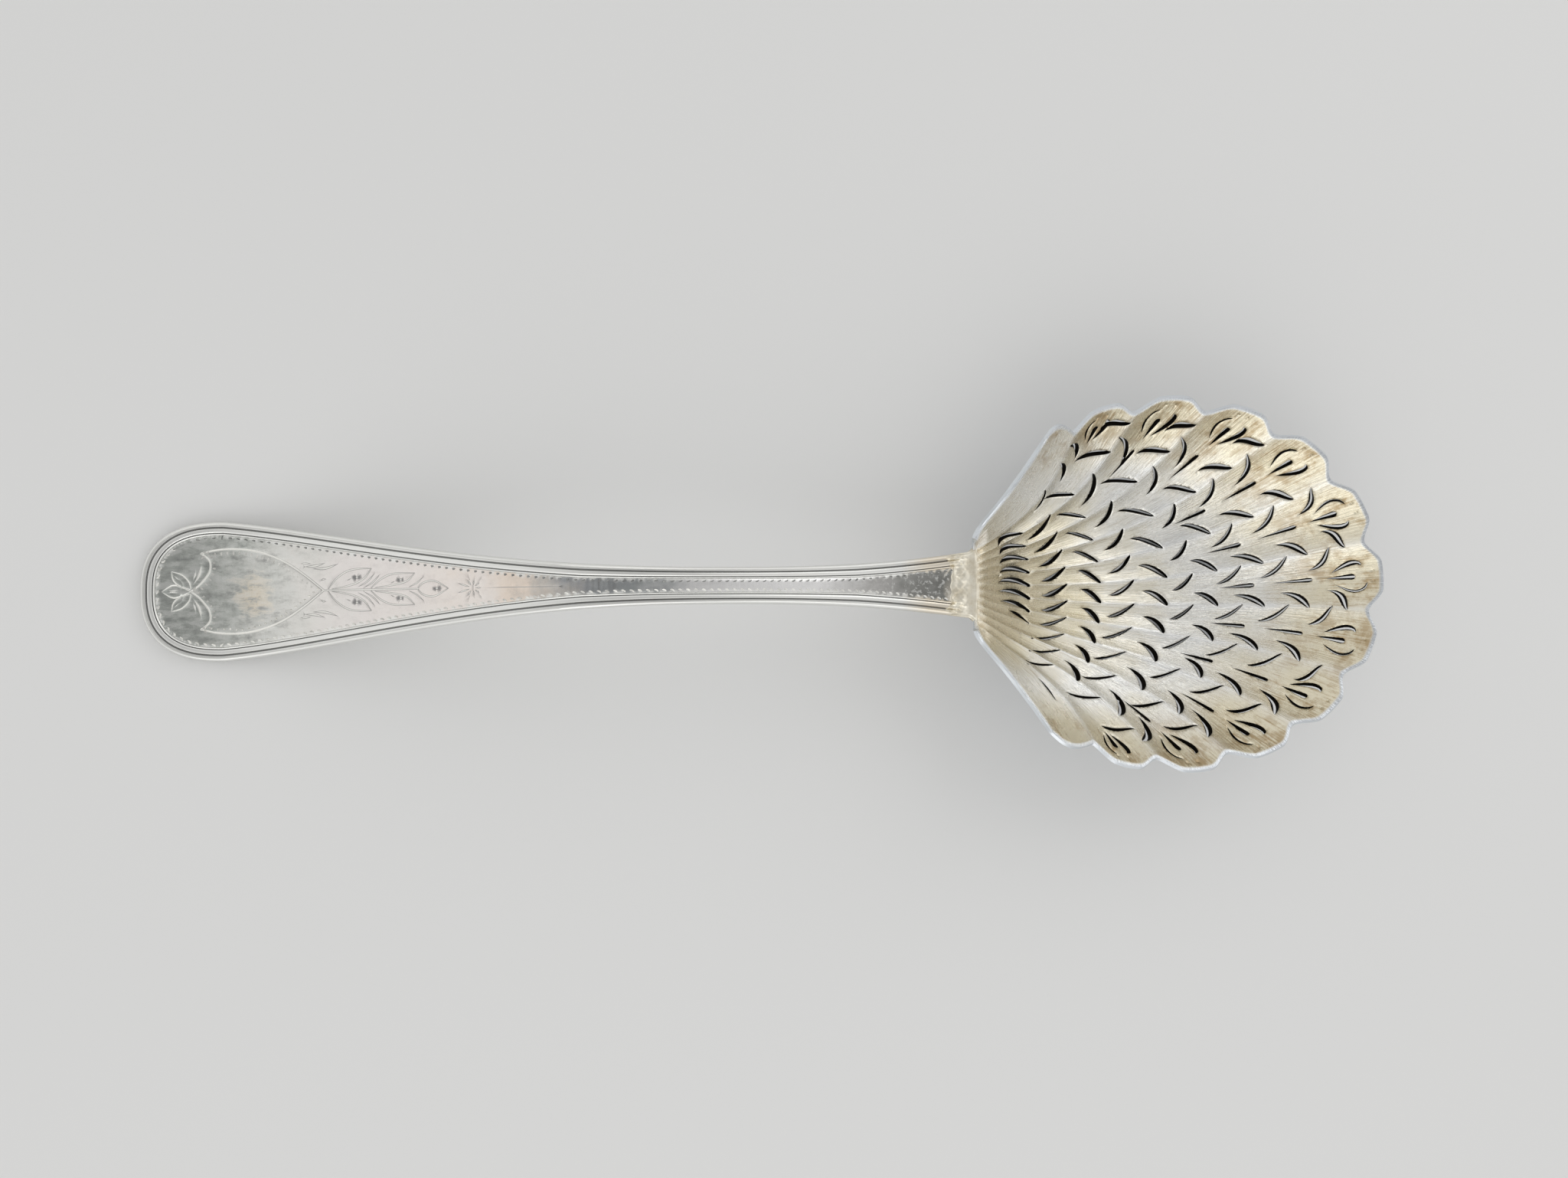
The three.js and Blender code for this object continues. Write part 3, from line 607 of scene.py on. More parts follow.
def tab_point(across, share):
    """Plan of the neck tab: across from -1 to 1, share 0 at the fold and 1 at the tab's end."""
    half = TAB_ROOT_HALF + (TAB_END_HALF - TAB_ROOT_HALF) * share
    corner = TAB_END_ROUND * share * np.abs(across) ** TAB_END_SQUARE
    return FOLD_X - FOLD_RADIUS - (TAB_LENGTH - FOLD_RADIUS) * share + corner, half * across


def lay_boundary(blank, rim, flank, drop):
    """The blank's boundary, counter-clockwise: -Y flank out, rim, +Y flank back, tab."""
    out = np.concatenate([[0], flank])
    across = np.linspace(-1, 1, TAB_COLUMNS)[::-1]
    rows = np.linspace(0, 1, TAB_ROWS)[:-1]

    def tab_side(hand, rows):
        """Points of the tab's edge on one side."""
        share = -TAB_SHARE * np.maximum(rows, TAB_SHARE_LEAST)
        return blank.add(hand * EDGE_RIB + 0 * rows, share, -drop, -drop, tab_point(hand, rows))

    parts = [
        blank.add(-EDGE_RIB, out, -RIM_DROP, -drop, rim=1.0),
        blank.add(rim, 1.0, -RIM_DROP, -drop, rim=1.0),
        blank.add(EDGE_RIB, out[::-1], -RIM_DROP, -drop, rim=1.0),
        tab_side(1, rows),
        blank.add(EDGE_RIB * across, -TAB_SHARE, -drop, -drop, tab_point(across, 1.0)),
        tab_side(-1, rows[::-1]),
    ]
    blank.close(np.concatenate(parts))


def lay_slots(blank, ruler, settings):
    """Lays every slot with its lip. Returns the outlines that other points keep out of."""
    lip, drop = settings.lip / MM, settings.lip_drop / MM
    keep_out = []
    for rib, across, along, half in slots(ruler, settings):
        outline = stroke_outline(across, along, half)
        narrow = stroke_outline(across, along, SLOT_TAPER * half)
        at, inner_at, lip_at, clear_at = (
            ruler.place(rib, line[:, 0], line[:, 1])
            for line in (outline, narrow, grown(outline, lip), grown(outline, LIP_CLEAR * lip))
        )
        inward = np.stack(plan(*inner_at), -1) - np.stack(plan(*at), -1)
        blank.close(blank.add(*at, -drop, -drop, pierced=1.0, inward=inward))
        blank.add(*lip_at)
        keep_out.append(np.stack(plan(*clear_at), -1))
    return keep_out


def lay_dots(blank, ruler):
    """Lays the punched dots of the florets. Returns the outlines that other points keep out of."""
    keep_out = []
    clear = np.arange(12) * np.pi / 6
    for lobe in LOBES:
        end = ruler.table(lobe)[1][-1]
        for across, back in FLORET_DOTS:
            for radius, sunk, steps in DOT_RINGS:
                turn = np.arange(steps) / steps * 2 * np.pi
                at = ruler.place(lobe, across + radius * np.cos(turn), end - back + radius * np.sin(turn))
                blank.add(*at, -sunk)
            at = ruler.place(lobe, across + DOT_CLEAR * np.cos(clear), end - back + DOT_CLEAR * np.sin(clear))
            keep_out.append(np.stack(plan(*at), -1))
    return keep_out


def pierced_blank(ruler, settings):
    """Lays out the boundary, the slots with their lips, and the rows of points between them."""
    spacing = settings.spacing / MM
    blank = Blank()
    rim = row_ribs(ruler, 1.0, RIM_SPACING * spacing)
    flank = np.linspace(0, 1, FLANK_STEPS + 2)[1:-1]
    lay_boundary(blank, rim, flank, settings.lip_drop / MM)
    # The filed slope just inside the boundary
    end_gap = np.linalg.norm(ruler.surface(rim, 1.0) - ruler.surface(rim, 0.98), axis=1) / 0.02
    for inside, sunk, bare in RIM_STEPS:
        blank.add(rim[1:-1], 1 - inside / end_gap[1:-1], -sunk, rim=bare)
        for hand in (-1, 1):
            width = np.maximum(ruler.pitch(hand * (EDGE_RIB - 0.3), flank), 1)
            blank.add(hand * (EDGE_RIB - inside / width), flank, -sunk, rim=bare)
    keep_out = lay_slots(blank, ruler, settings) + lay_dots(blank, ruler)
    # Rows between, thinned out where the ribs draw together
    rows = int(ruler.table(0)[1][-1] / spacing)
    inner = []
    for i in range(rows):
        share = i / rows
        ribs = row_ribs(ruler, share, spacing)[1:-1]
        step = np.linalg.norm(ruler.surface(ribs, share) - ruler.surface(ribs, share + 1 / rows), axis=1)
        stride = 2 ** np.floor(np.log2(np.maximum(1.25 * spacing / step, 1)))
        wanted = (rows - i) % stride == 0
        inner.append(np.stack([ribs[wanted], np.full(wanted.sum(), share)], -1))
    ribs, shares = np.concatenate(inner).T
    flat = np.stack(plan(ribs, shares), -1)
    from_rim = (1 - shares) * np.interp(ribs, rim, end_gap)
    from_flank = (EDGE_RIB - np.abs(ribs)) * ruler.pitch(ribs, shares)
    free = np.minimum(from_rim, from_flank) > RIM_CLEAR
    for outline in keep_out:
        free &= ~inside_outline(flat, outline)
    blank.add(ribs[free], shares[free])
    across = np.linspace(-1, 1, TAB_COLUMNS)[1:-1]
    for row in np.linspace(0, 1, TAB_ROWS)[:-1]:
        share = -TAB_SHARE * max(row, TAB_SHARE_LEAST)
        blank.add(EDGE_RIB * across, share, xy=tab_point(across, row))
    return blank


def inside_outline(points, outline):
    """Which points lie inside a closed outline."""
    low, high = outline.min(0), outline.max(0)
    near = np.flatnonzero(np.all((points >= low) & (points <= high), axis=1))
    found = np.zeros(len(points), bool)
    x, y = points[near, 0], points[near, 1]
    odd = np.zeros(len(near), bool)
    for (x0, y0), (x1, y1) in zip(outline, np.roll(outline, -1, axis=0)):
        if y0 != y1:
            crosses = (y0 > y) != (y1 > y)
            odd ^= crosses & (x < (x1 - x0) * (y - y0) / (y1 - y0) + x0)
    found[near] = odd
    return found


def triangulated(points, edges, loops, hole_loops):
    """Triangles between the loops. Returns the points, their source numbers and the triangles."""
    result = delaunay_2d_cdt([Vector(p) for p in points.tolist()], edges, [], 0, 1e-6)
    flat = np.array([tuple(v) for v in result[0]])
    source = np.array([ids[0] if ids else -1 for ids in result[3]])
    triangles = np.array([f for f in result[2] if len(f) == 3])
    centres = flat[triangles].mean(1)
    keep = np.ones(len(triangles), bool)
    for loop in loops:
        keep &= inside_outline(centres, points[loop])
    for loop in hole_loops:
        keep &= ~inside_outline(centres, points[loop])
    return flat, source, triangles[keep]


# Node helpers


def between(operation):
    """A method that puts one math operation between a number and another."""
    return lambda number, other: number.math(operation, other)


class Field:
    """A number inside a node tree, so that formulas read as formulas."""

    def __init__(self, tree, socket):
        self.tree = tree
        self.socket = socket

    def math(self, operation, *others):
        """The result of a math node on this number and others."""
        inputs = dict(enumerate((self, *others)))
        return Field(self.tree, new_node(self.tree, "ShaderNodeMath", inputs, operation=operation).outputs[0])

    __add__ = between("ADD")
    __sub__ = between("SUBTRACT")
    __mul__ = between("MULTIPLY")
    __truediv__ = between("DIVIDE")
    __pow__ = between("POWER")
    at_least = between("MAXIMUM")
    at_most = between("MINIMUM")
    above = between("GREATER_THAN")

    def clamped(self):
        """The number kept between 0 and 1."""
        return self.at_least(0).at_most(1)


def new_node(tree, kind, inputs=None, **settings):
    """Adds a node, and links or sets its inputs. A node given as an input means its first output."""
    node = tree.nodes.new(kind)
    for key, value in settings.items():
        setattr(node, key, value)
    for key, value in (inputs or {}).items():
        if isinstance(value, Field):
            value = value.socket
        elif isinstance(value, bpy.types.Node):
            value = value.outputs[0]
        if isinstance(value, bpy.types.NodeSocket):
            tree.links.new(value, node.inputs[key])
        else:
            node.inputs[key].default_value = value
    return node


def node_tree(name, numbers, metals):
    """A geometry node tree with a mesh in, a mesh out, and named inputs for numbers and for materials."""
    tree = bpy.data.node_groups.new(name, "GeometryNodeTree")
    for way in ("OUTPUT", "INPUT"):
        tree.interface.new_socket("Geometry", in_out=way, socket_type="NodeSocketGeometry")
    for labels, kind in ((numbers, "NodeSocketFloat"), (metals, "NodeSocketMaterial")):
        for label in labels:
            tree.interface.new_socket(label, in_out="INPUT", socket_type=kind)
    return tree, tree.nodes.new("NodeGroupInput").outputs, tree.nodes.new("NodeGroupOutput").inputs


def apply_tree(obj, tree, values):
    """Runs the tree on the object with the given input values and keeps the result as a plain mesh."""
    modifier = obj.modifiers.new(tree.name, "NODES")
    modifier.node_group = tree
    for item in tree.interface.items_tree:
        if item.item_type == "SOCKET" and item.in_out == "INPUT" and item.name in values:
            modifier[item.identifier] = values[item.name]
    graph = bpy.context.evaluated_depsgraph_get()
    mesh = bpy.data.meshes.new_from_object(obj.evaluated_get(graph), depsgraph=graph)
    obj.modifiers.clear()
    old = obj.data
    obj.data = mesh
    bpy.data.meshes.remove(old)


def mesh_object(name, points, faces, attributes=None):
    """An object from points in millimetres counted from the handle's tip."""
    mesh = bpy.data.meshes.new(name)
    placed = (np.asarray(points, float) + (TIP, 0, 0)) * MM
    mesh.from_pydata(placed.tolist(), [], [list(map(int, f)) for f in faces])
    for key, values in (attributes or {}).items():
        layer = mesh.attributes.new(key, "FLOAT", "POINT")
        layer.data.foreach_set("value", np.asarray(values, np.float32))
    obj = bpy.data.objects.new(name, mesh)
    bpy.context.scene.collection.objects.link(obj)
    return obj


def finish_piece(obj, slot, *nodes, sharp=40):
    """Smooth shading with creases, then the piece takes its place on the spoon's one body."""
    obj.data.polygons.foreach_set("use_smooth", np.ones(len(obj.data.polygons), bool))
    obj.data.set_sharp_from_angle(angle=math.radians(sharp))
    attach(obj, "root")
    if nodes:
        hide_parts(*nodes)


def strike_tree():
    """Presses the flat blank into the fluted bowl and gives the sheet its thickness."""
    numbers = (*PLAN_SIZES, *STRUCK_SIZES)
    tree, given, end = node_tree("Strike the bowl", numbers, ("Inside", "Outside", "Slot walls"))
    make = partial(new_node, tree)

    def size(name):
        return Field(tree, given[name])

    def layer(name, kind="FLOAT"):
        node = make("GeometryNodeInputNamedAttribute", {"Name": name}, data_type=kind)
        return Field(tree, node.outputs["Attribute"])

    def vector(x, y, z):
        return make("ShaderNodeCombineXYZ", {"X": x, "Y": y, "Z": z})

    def vector_math(operation, *values, **scale):
        return make("ShaderNodeVectorMath", {**dict(enumerate(values)), **scale}, operation=operation)

    flat = make("ShaderNodeSeparateXYZ", {"Vector": make("GeometryNodeInputPosition")}).outputs
    x, y = Field(tree, flat["X"]), Field(tree, flat["Y"])
    rib, share, lift, under = layer("rib"), layer("share"), layer("lift"), layer("under")
    # The bowl's section
    across = x - size("Centre")
    reach = size("Near") + (size("Far") - size("Near")) * across.above(0.0)
    out = ((across / reach) ** 2 + (y / size("Half")) ** 2) ** 0.5
    out = out.at_least(0.001)
    height = (out ** size("Fullness") - 1.0) * size("Depth")
    ahead = share.at_least(0.0)
    in_bowl = share.above(-0.0001)
    # Eased into the flat tab at the fold
    fade = (ahead / size("Heel fade")).at_most(1.0)
    ease = (fade * fade * (fade * -2.0 + 3.0) * -1.0 + 1.0) * size("Heel ease")
    root = (height**2 + ease**2 + 1e-12) ** 0.5
    whole = (size("Depth") ** 2 + ease**2) ** 0.5
    turn = (ahead / size("Heel")).at_most(1.0) * size("Depth") / (whole - ease)
    lean = height.math("ABSOLUTE") / root * turn
    height = height.math("SIGN") * (root - ease) * turn
    # The sheet's upward direction
    steep = size("Depth") * size("Fullness") * out ** (size("Fullness") - 2.0) * lean
    slope_x = steep * across / reach**2
    slope_y = steep * y / size("Half") ** 2
    slope_x, slope_y = slope_x * in_bowl * -1.0, slope_y * in_bowl * -1.0
    normal = vector_math("NORMALIZE", vector(slope_x, slope_y, 1.0))
    # Flutes between the ribs, and the swell of the plain wings
    ridge = (rib * math.pi).math("COSINE")
    soft = size("Ridge softness")
    channel = ((ridge**2 + soft**2) ** 0.5 - soft) / ((soft**2 + 1.0) ** 0.5 - soft)
    deeper = size("Flute at rim") - size("Flute at fold")
    flute = size("Flute at fold") + deeper * ahead ** size("Flute growth")
    past = rib.math("ABSOLUTE") - OUTER_RIB
    on_wing = past.above(0.0)
    swell = (past * math.pi).math("SINE") * size("Wing swell") * ahead
    from_fold = (ahead / size("Heel")).at_most(1.0) * in_bowl
    pressed = (flute * channel * (on_wing * -1.0 + 1.0) + swell * on_wing) * from_fold
    base = vector(x, y, size("Notch height") + height)
    upper_place = vector_math("ADD", base, vector_math("SCALE", normal, Scale=lift - pressed))
    straight_through = vector_math("SCALE", normal, Scale=(size("Sheet") + lift + under) * -1.0)
    # The slots narrow towards the outside
    inward_x, inward_y = layer("inward_x"), layer("inward_y")
    inward = vector(inward_x, inward_y, (inward_x * slope_x + inward_y * slope_y) * -1.0)
    lower_place = vector_math("ADD", vector_math("ADD", upper_place, straight_through), inward)
    # The belly is worn flat where the spoon rests
    low = make("ShaderNodeSeparateXYZ", {"Vector": lower_place}).outputs
    worn = vector(low["X"], low["Y"], Field(tree, low["Z"]).at_least(0.0))
    through = vector_math("SUBTRACT", worn, upper_place)
    layers = {"Geometry": given["Geometry"], "Name": "through", "Value": through}
    stored = make("GeometryNodeStoreNamedAttribute", layers, data_type="FLOAT_VECTOR", domain="POINT")
    upper = make("GeometryNodeSetPosition", {"Geometry": stored, "Position": upper_place})
    inside = make("GeometryNodeSetMaterial", {"Geometry": upper, "Material": given["Inside"]})
    # Walls along every free edge
    faces_at = make("GeometryNodeInputMeshEdgeNeighbors")
    free_edge = make("FunctionNodeCompare", {2: faces_at, 3: 1}, data_type="INT", operation="EQUAL")
    edges = {"Mesh": inside, "Selection": free_edge, "Offset Scale": 0.0}
    walls = make("GeometryNodeExtrudeMesh", edges, mode="EDGES").outputs
    drop = layer("through", "FLOAT_VECTOR")
    hanging = {"Geometry": walls["Mesh"], "Selection": walls["Top"], "Offset": drop}
    hung = make("GeometryNodeSetPosition", hanging)
    sides = {"Geometry": hung, "Selection": walls["Side"], "Material": given["Outside"]}
    silver_sides = make("GeometryNodeSetMaterial", sides)
    pierced_side = {0: walls["Side"], 1: layer("pierced").above(0.5)}
    in_slot = make("FunctionNodeBooleanMath", pierced_side, operation="AND")
    sides = {"Geometry": silver_sides, "Selection": in_slot, "Material": given["Slot walls"]}
    all_sides = make("GeometryNodeSetMaterial", sides)
    # The outside
    dropped = make("GeometryNodeSetPosition", {"Geometry": upper, "Offset": drop})
    turned = make("GeometryNodeFlipFaces", {"Mesh": dropped})
    outside = make("GeometryNodeSetMaterial", {"Geometry": turned, "Material": given["Outside"]})
    joined = make("GeometryNodeJoinGeometry", {0: all_sides})
    tree.links.new(outside.outputs[0], joined.inputs[0])
    welded = make("GeometryNodeMergeByDistance", {"Geometry": joined, "Distance": SHELL_WELD})
    tree.links.new(make("GeometryNodeRealizeInstances", {"Geometry": welded}).outputs[0], end[0])
    return tree


def cuts_tree():
    """Sets a row of slanting cuts along a line, each a low facet that leans to one side of it."""
    tree, given, end = node_tree("Row of bright cuts", ("Pitch", *CUT_SIZES, "Slant", "Lean"), ("Metal",))
    make = partial(new_node, tree)
    line = make("GeometryNodeMeshToCurve", {"Mesh": given["Geometry"]})
    even = make("GeometryNodeCurveToPoints", {"Curve": line, "Length": given["Pitch"]}, mode="LENGTH")
    size = make("ShaderNodeCombineXYZ", {way: given[name] for way, name in zip("XYZ", CUT_SIZES)})
    disc = {"Vertices": CUT_SIDES, "Radius": 0.5, "Depth": 1.0}
    cut = make("GeometryNodeMeshCylinder", disc, fill_type="NGON")
    shaped = make("GeometryNodeTransform", {"Geometry": cut, "Scale": size})
    lean = make("ShaderNodeCombineXYZ", {"X": given["Lean"]})
    leaned = make("GeometryNodeTransform", {"Geometry": shaped, "Rotation": lean})
    along = make("FunctionNodeAlignRotationToVector", {"Vector": even.outputs["Tangent"]}, axis="X")
    slant = make("ShaderNodeCombineXYZ", {"Z": given["Slant"]})
    turn = make("FunctionNodeEulerToRotation", {"Euler": slant})
    turns = {"Rotation": along, "Rotate By": turn}
    turned = make("FunctionNodeRotateRotation", turns, rotation_space="LOCAL")
    placed = make("GeometryNodeInstanceOnPoints", {"Points": even, "Instance": leaned, "Rotation": turned})
    realized = make("GeometryNodeRealizeInstances", {"Geometry": placed})
    metal = make("GeometryNodeSetMaterial", {"Geometry": realized, "Material": given["Metal"]})
    tree.links.new(metal.outputs[0], end[0])
    return tree


# Handle


def handle_half(x):
    """Half width of the handle, from the tip's end to the fold."""
    x = np.asarray(x, float)
    way = np.clip((x - TIP_LENGTH) / (WAIST_X - TIP_LENGTH), 0, 1)
    taper = WAIST_HALF + (WIDEST_HALF - WAIST_HALF) * (1 - way**TAPER_BEND) ** TAPER_FADE
    flare = np.clip((x - WAIST_X) / (FOLD_X - WAIST_X), 0, None)
    return np.where(x < WAIST_X, taper, WAIST_HALF + (NECK_HALF - WAIST_HALF) * flare**NECK_FLARE)


def handle_thickness(x):
    """Thickness of the handle at its middle."""
    body = TIP_THICKNESS + (WAIST_THICKNESS - TIP_THICKNESS) * smoothstep(x, TIP_LENGTH, WAIST_X)
    neck = WAIST_THICKNESS + (NECK_THICKNESS - WAIST_THICKNESS) * smoothstep(x, WAIST_X, SEAT_X)
    return np.where(np.asarray(x) < WAIST_X, body, neck)


def panel_height(x):
    """Height of the panel above the table: the handle's arch."""
    tip = TIP_THICKNESS - WEAR_DEPTH
    rise = tip + (ARCH_HEIGHT - tip) * smoothstep(x, REST_LENGTH, ARCH_X)
    fall = ARCH_HEIGHT + (NOTCH_Z - ARCH_HEIGHT) * smoothstep(x, ARCH_X, SEAT_X)
    return np.where(np.asarray(x) < ARCH_X, rise, fall)


# Border profile from the edge inwards: share of the border's width, height as shares of reed and groove
BORDER = (
    (0.03, 0.2, 0), (0.08, 0.62, 0), (0.13, 0.95, 0), (0.18, 1.0, 0), (0.225, 0.85, 0), (0.26, 0.35, 0.2),
    (0.31, 0.3, 0.1), (0.37, 0.3, 0.1), (0.4, 0, 0.9), (0.43, 0, 1), (0.46, 0.2, 0.6), (0.5, 0.72, 0),
    (0.57, 0.9, 0), (0.65, 0.92, 0), (0.73, 0.82, 0), (0.78, 0.5, 0), (0.805, 0, 0.9), (0.83, 0, 0.9),
    (0.86, 0.6, 0), (0.9, 0.85, 0), (0.94, 0.6, 0), (0.97, 0, 0.3), (1.0, 0, 0),
)
# The rounded underside: shares of the way from the edge to the border's inner line
UNDERSIDE = (1, 0.9, 0.8, 0.7, 0.6, 0.5, 0.41, 0.33, 0.26, 0.2, 0.145, 0.1, 0.065, 0.035, 0.012, 0)
# The edge above it: share of its height, and how far it is drawn in
EDGE_STEPS = ((0.12, 0.04), (0.5, 0.0), (0.85, 0.04))


def border_width(x, border):
    """Width of the reeded border, less where the handle is narrow."""
    return np.minimum(border / MM, BORDER_SHARE * handle_half(np.maximum(x, TIP_LENGTH)))


def handle_stations(step=0.45, tip_steps=70):
    """Places along the edge from the panel's end to the tip, with their outward directions."""
    x = np.arange(PANEL_END_X, TIP_ROUND, -step)
    slope = (handle_half(x + 0.05) - handle_half(x - 0.05)) / 0.1
    edge = np.stack([x, handle_half(x)], -1)
    out = np.stack([-slope, np.ones_like(x)], -1)
    angle = np.pi / 2 * (1 - np.arange(tip_steps + 1) / tip_steps)
    bend = 2 / TIP_ROUNDNESS
    back, aside = np.clip(np.cos(angle), 0, 1) ** bend, np.clip(np.sin(angle), 0, 1) ** bend
    aside[-1] = 0
    back[-1] = 1
    half = handle_half(TIP_ROUND)
    tip_edge = np.stack([TIP_ROUND * (1 - back), half * aside], -1)
    tip_out = np.stack([-(back ** (TIP_ROUNDNESS - 1)) / TIP_ROUND, aside ** (TIP_ROUNDNESS - 1) / half], -1)
    edge, out = np.concatenate([edge, tip_edge]), np.concatenate([out, tip_out])
    return edge, out / np.linalg.norm(out, axis=1)[:, None]


def handle_sections(settings):
    """Rows of points round one half of the handle at every station, and which rows are grooves."""
    edge, out = handle_stations()
    tongue_x = np.array([TONGUE_END_X, PANEL_END_X])
    edge = np.concatenate([np.stack([tongue_x, handle_half(tongue_x)], -1), edge])
    out = np.concatenate([np.array([[0.0, 1.0], [0.0, 1.0]]), out])
    on_seat = np.zeros(len(edge), bool)
    on_seat[:2] = True
    seat = NOTCH_Z - SHEET - SOLDER_FILM
    width = border_width(edge[:, 0], settings.border)
    inner = edge - out * width[:, None]
    inner[:, 1] = np.maximum(inner[:, 1], 0)
    rows, grooves = [], []

    def lay(place, z, groove=0.0):
        """One row of points, kept off the other half of the handle."""
        rows.append(np.stack([place[:, 0], np.maximum(place[:, 1], 0), z], -1))
        grooves.append(groove)

    for share in UNDERSIDE:
        x = edge[:, 0] + (inner[:, 0] - edge[:, 0]) * share
        crown = (1 - (1 - share) ** UNDERSIDE_ROUNDNESS) ** (1 / UNDERSIDE_ROUNDNESS)
        drop = handle_thickness(x) * (EDGE_SHARE + (1 - EDGE_SHARE) * crown)
        z = panel_height(x) - EDGE_DROP - drop + EDGE_DROP * crown
        lay(np.stack([x, edge[:, 1] * (1 - share)], -1), np.maximum(z, 0))
    top = np.where(on_seat, seat, panel_height(edge[:, 0]) - EDGE_DROP)
    low = rows[-1][:, 2]
    for share, inset in EDGE_STEPS:
        lay(edge - out * inset, low + (top - low) * share)
    lay(edge - out * EDGE_BEVEL, top)
    reed, groove = settings.reed / MM, settings.groove / MM
    for share, up, down in BORDER:
        place = edge - out * (width * share)[:, None]
        z = panel_height(place[:, 0]) + up * reed - down * groove
        z = z - EDGE_DROP * np.clip(1 - share / EDGE_ROUND_SHARE, 0, 1) ** 1.5 * EDGE_ROUND
        lay(place, np.where(on_seat, seat, z), down if share < 1 else 0.0)
    return np.stack(rows, 1), np.array(grooves)


def catmull(points, spacing=0.3):
    """A smooth line through the given plan points."""
    points = np.asarray(points, float)
    if len(points) == 2:
        count = max(2, int(np.linalg.norm(points[1] - points[0]) / spacing) + 1)
        return points[0] + (points[1] - points[0]) * np.linspace(0, 1, count)[:, None]
    rough = np.linalg.norm(np.diff(points, axis=0), axis=1).sum()
    count = max(5, int(rough / spacing))
    where = np.linspace(0, 1, count)
    knots = np.linspace(0, 1, len(points))
    return np.stack([smooth_through(knots, points[:, axis], where) for axis in (0, 1)], -1)


# The shield's outline on one side, and the brace that closes it towards the tip
SHIELD_SIDE = (
    (8.9, 6.0), (11.3, 6.55), (13.9, 6.7), (16.5, 6.45), (19.2, 5.7), (22.0, 4.4), (24.8, 2.5), (27.9, 0.0)
)
SHIELD_BRACE = ((8.9, 6.0), (9.8, 5.3), (10.3, 4.4), (10.15, 3.1), (9.4, 1.9), (8.5, 0.85), (7.4, 0.0))


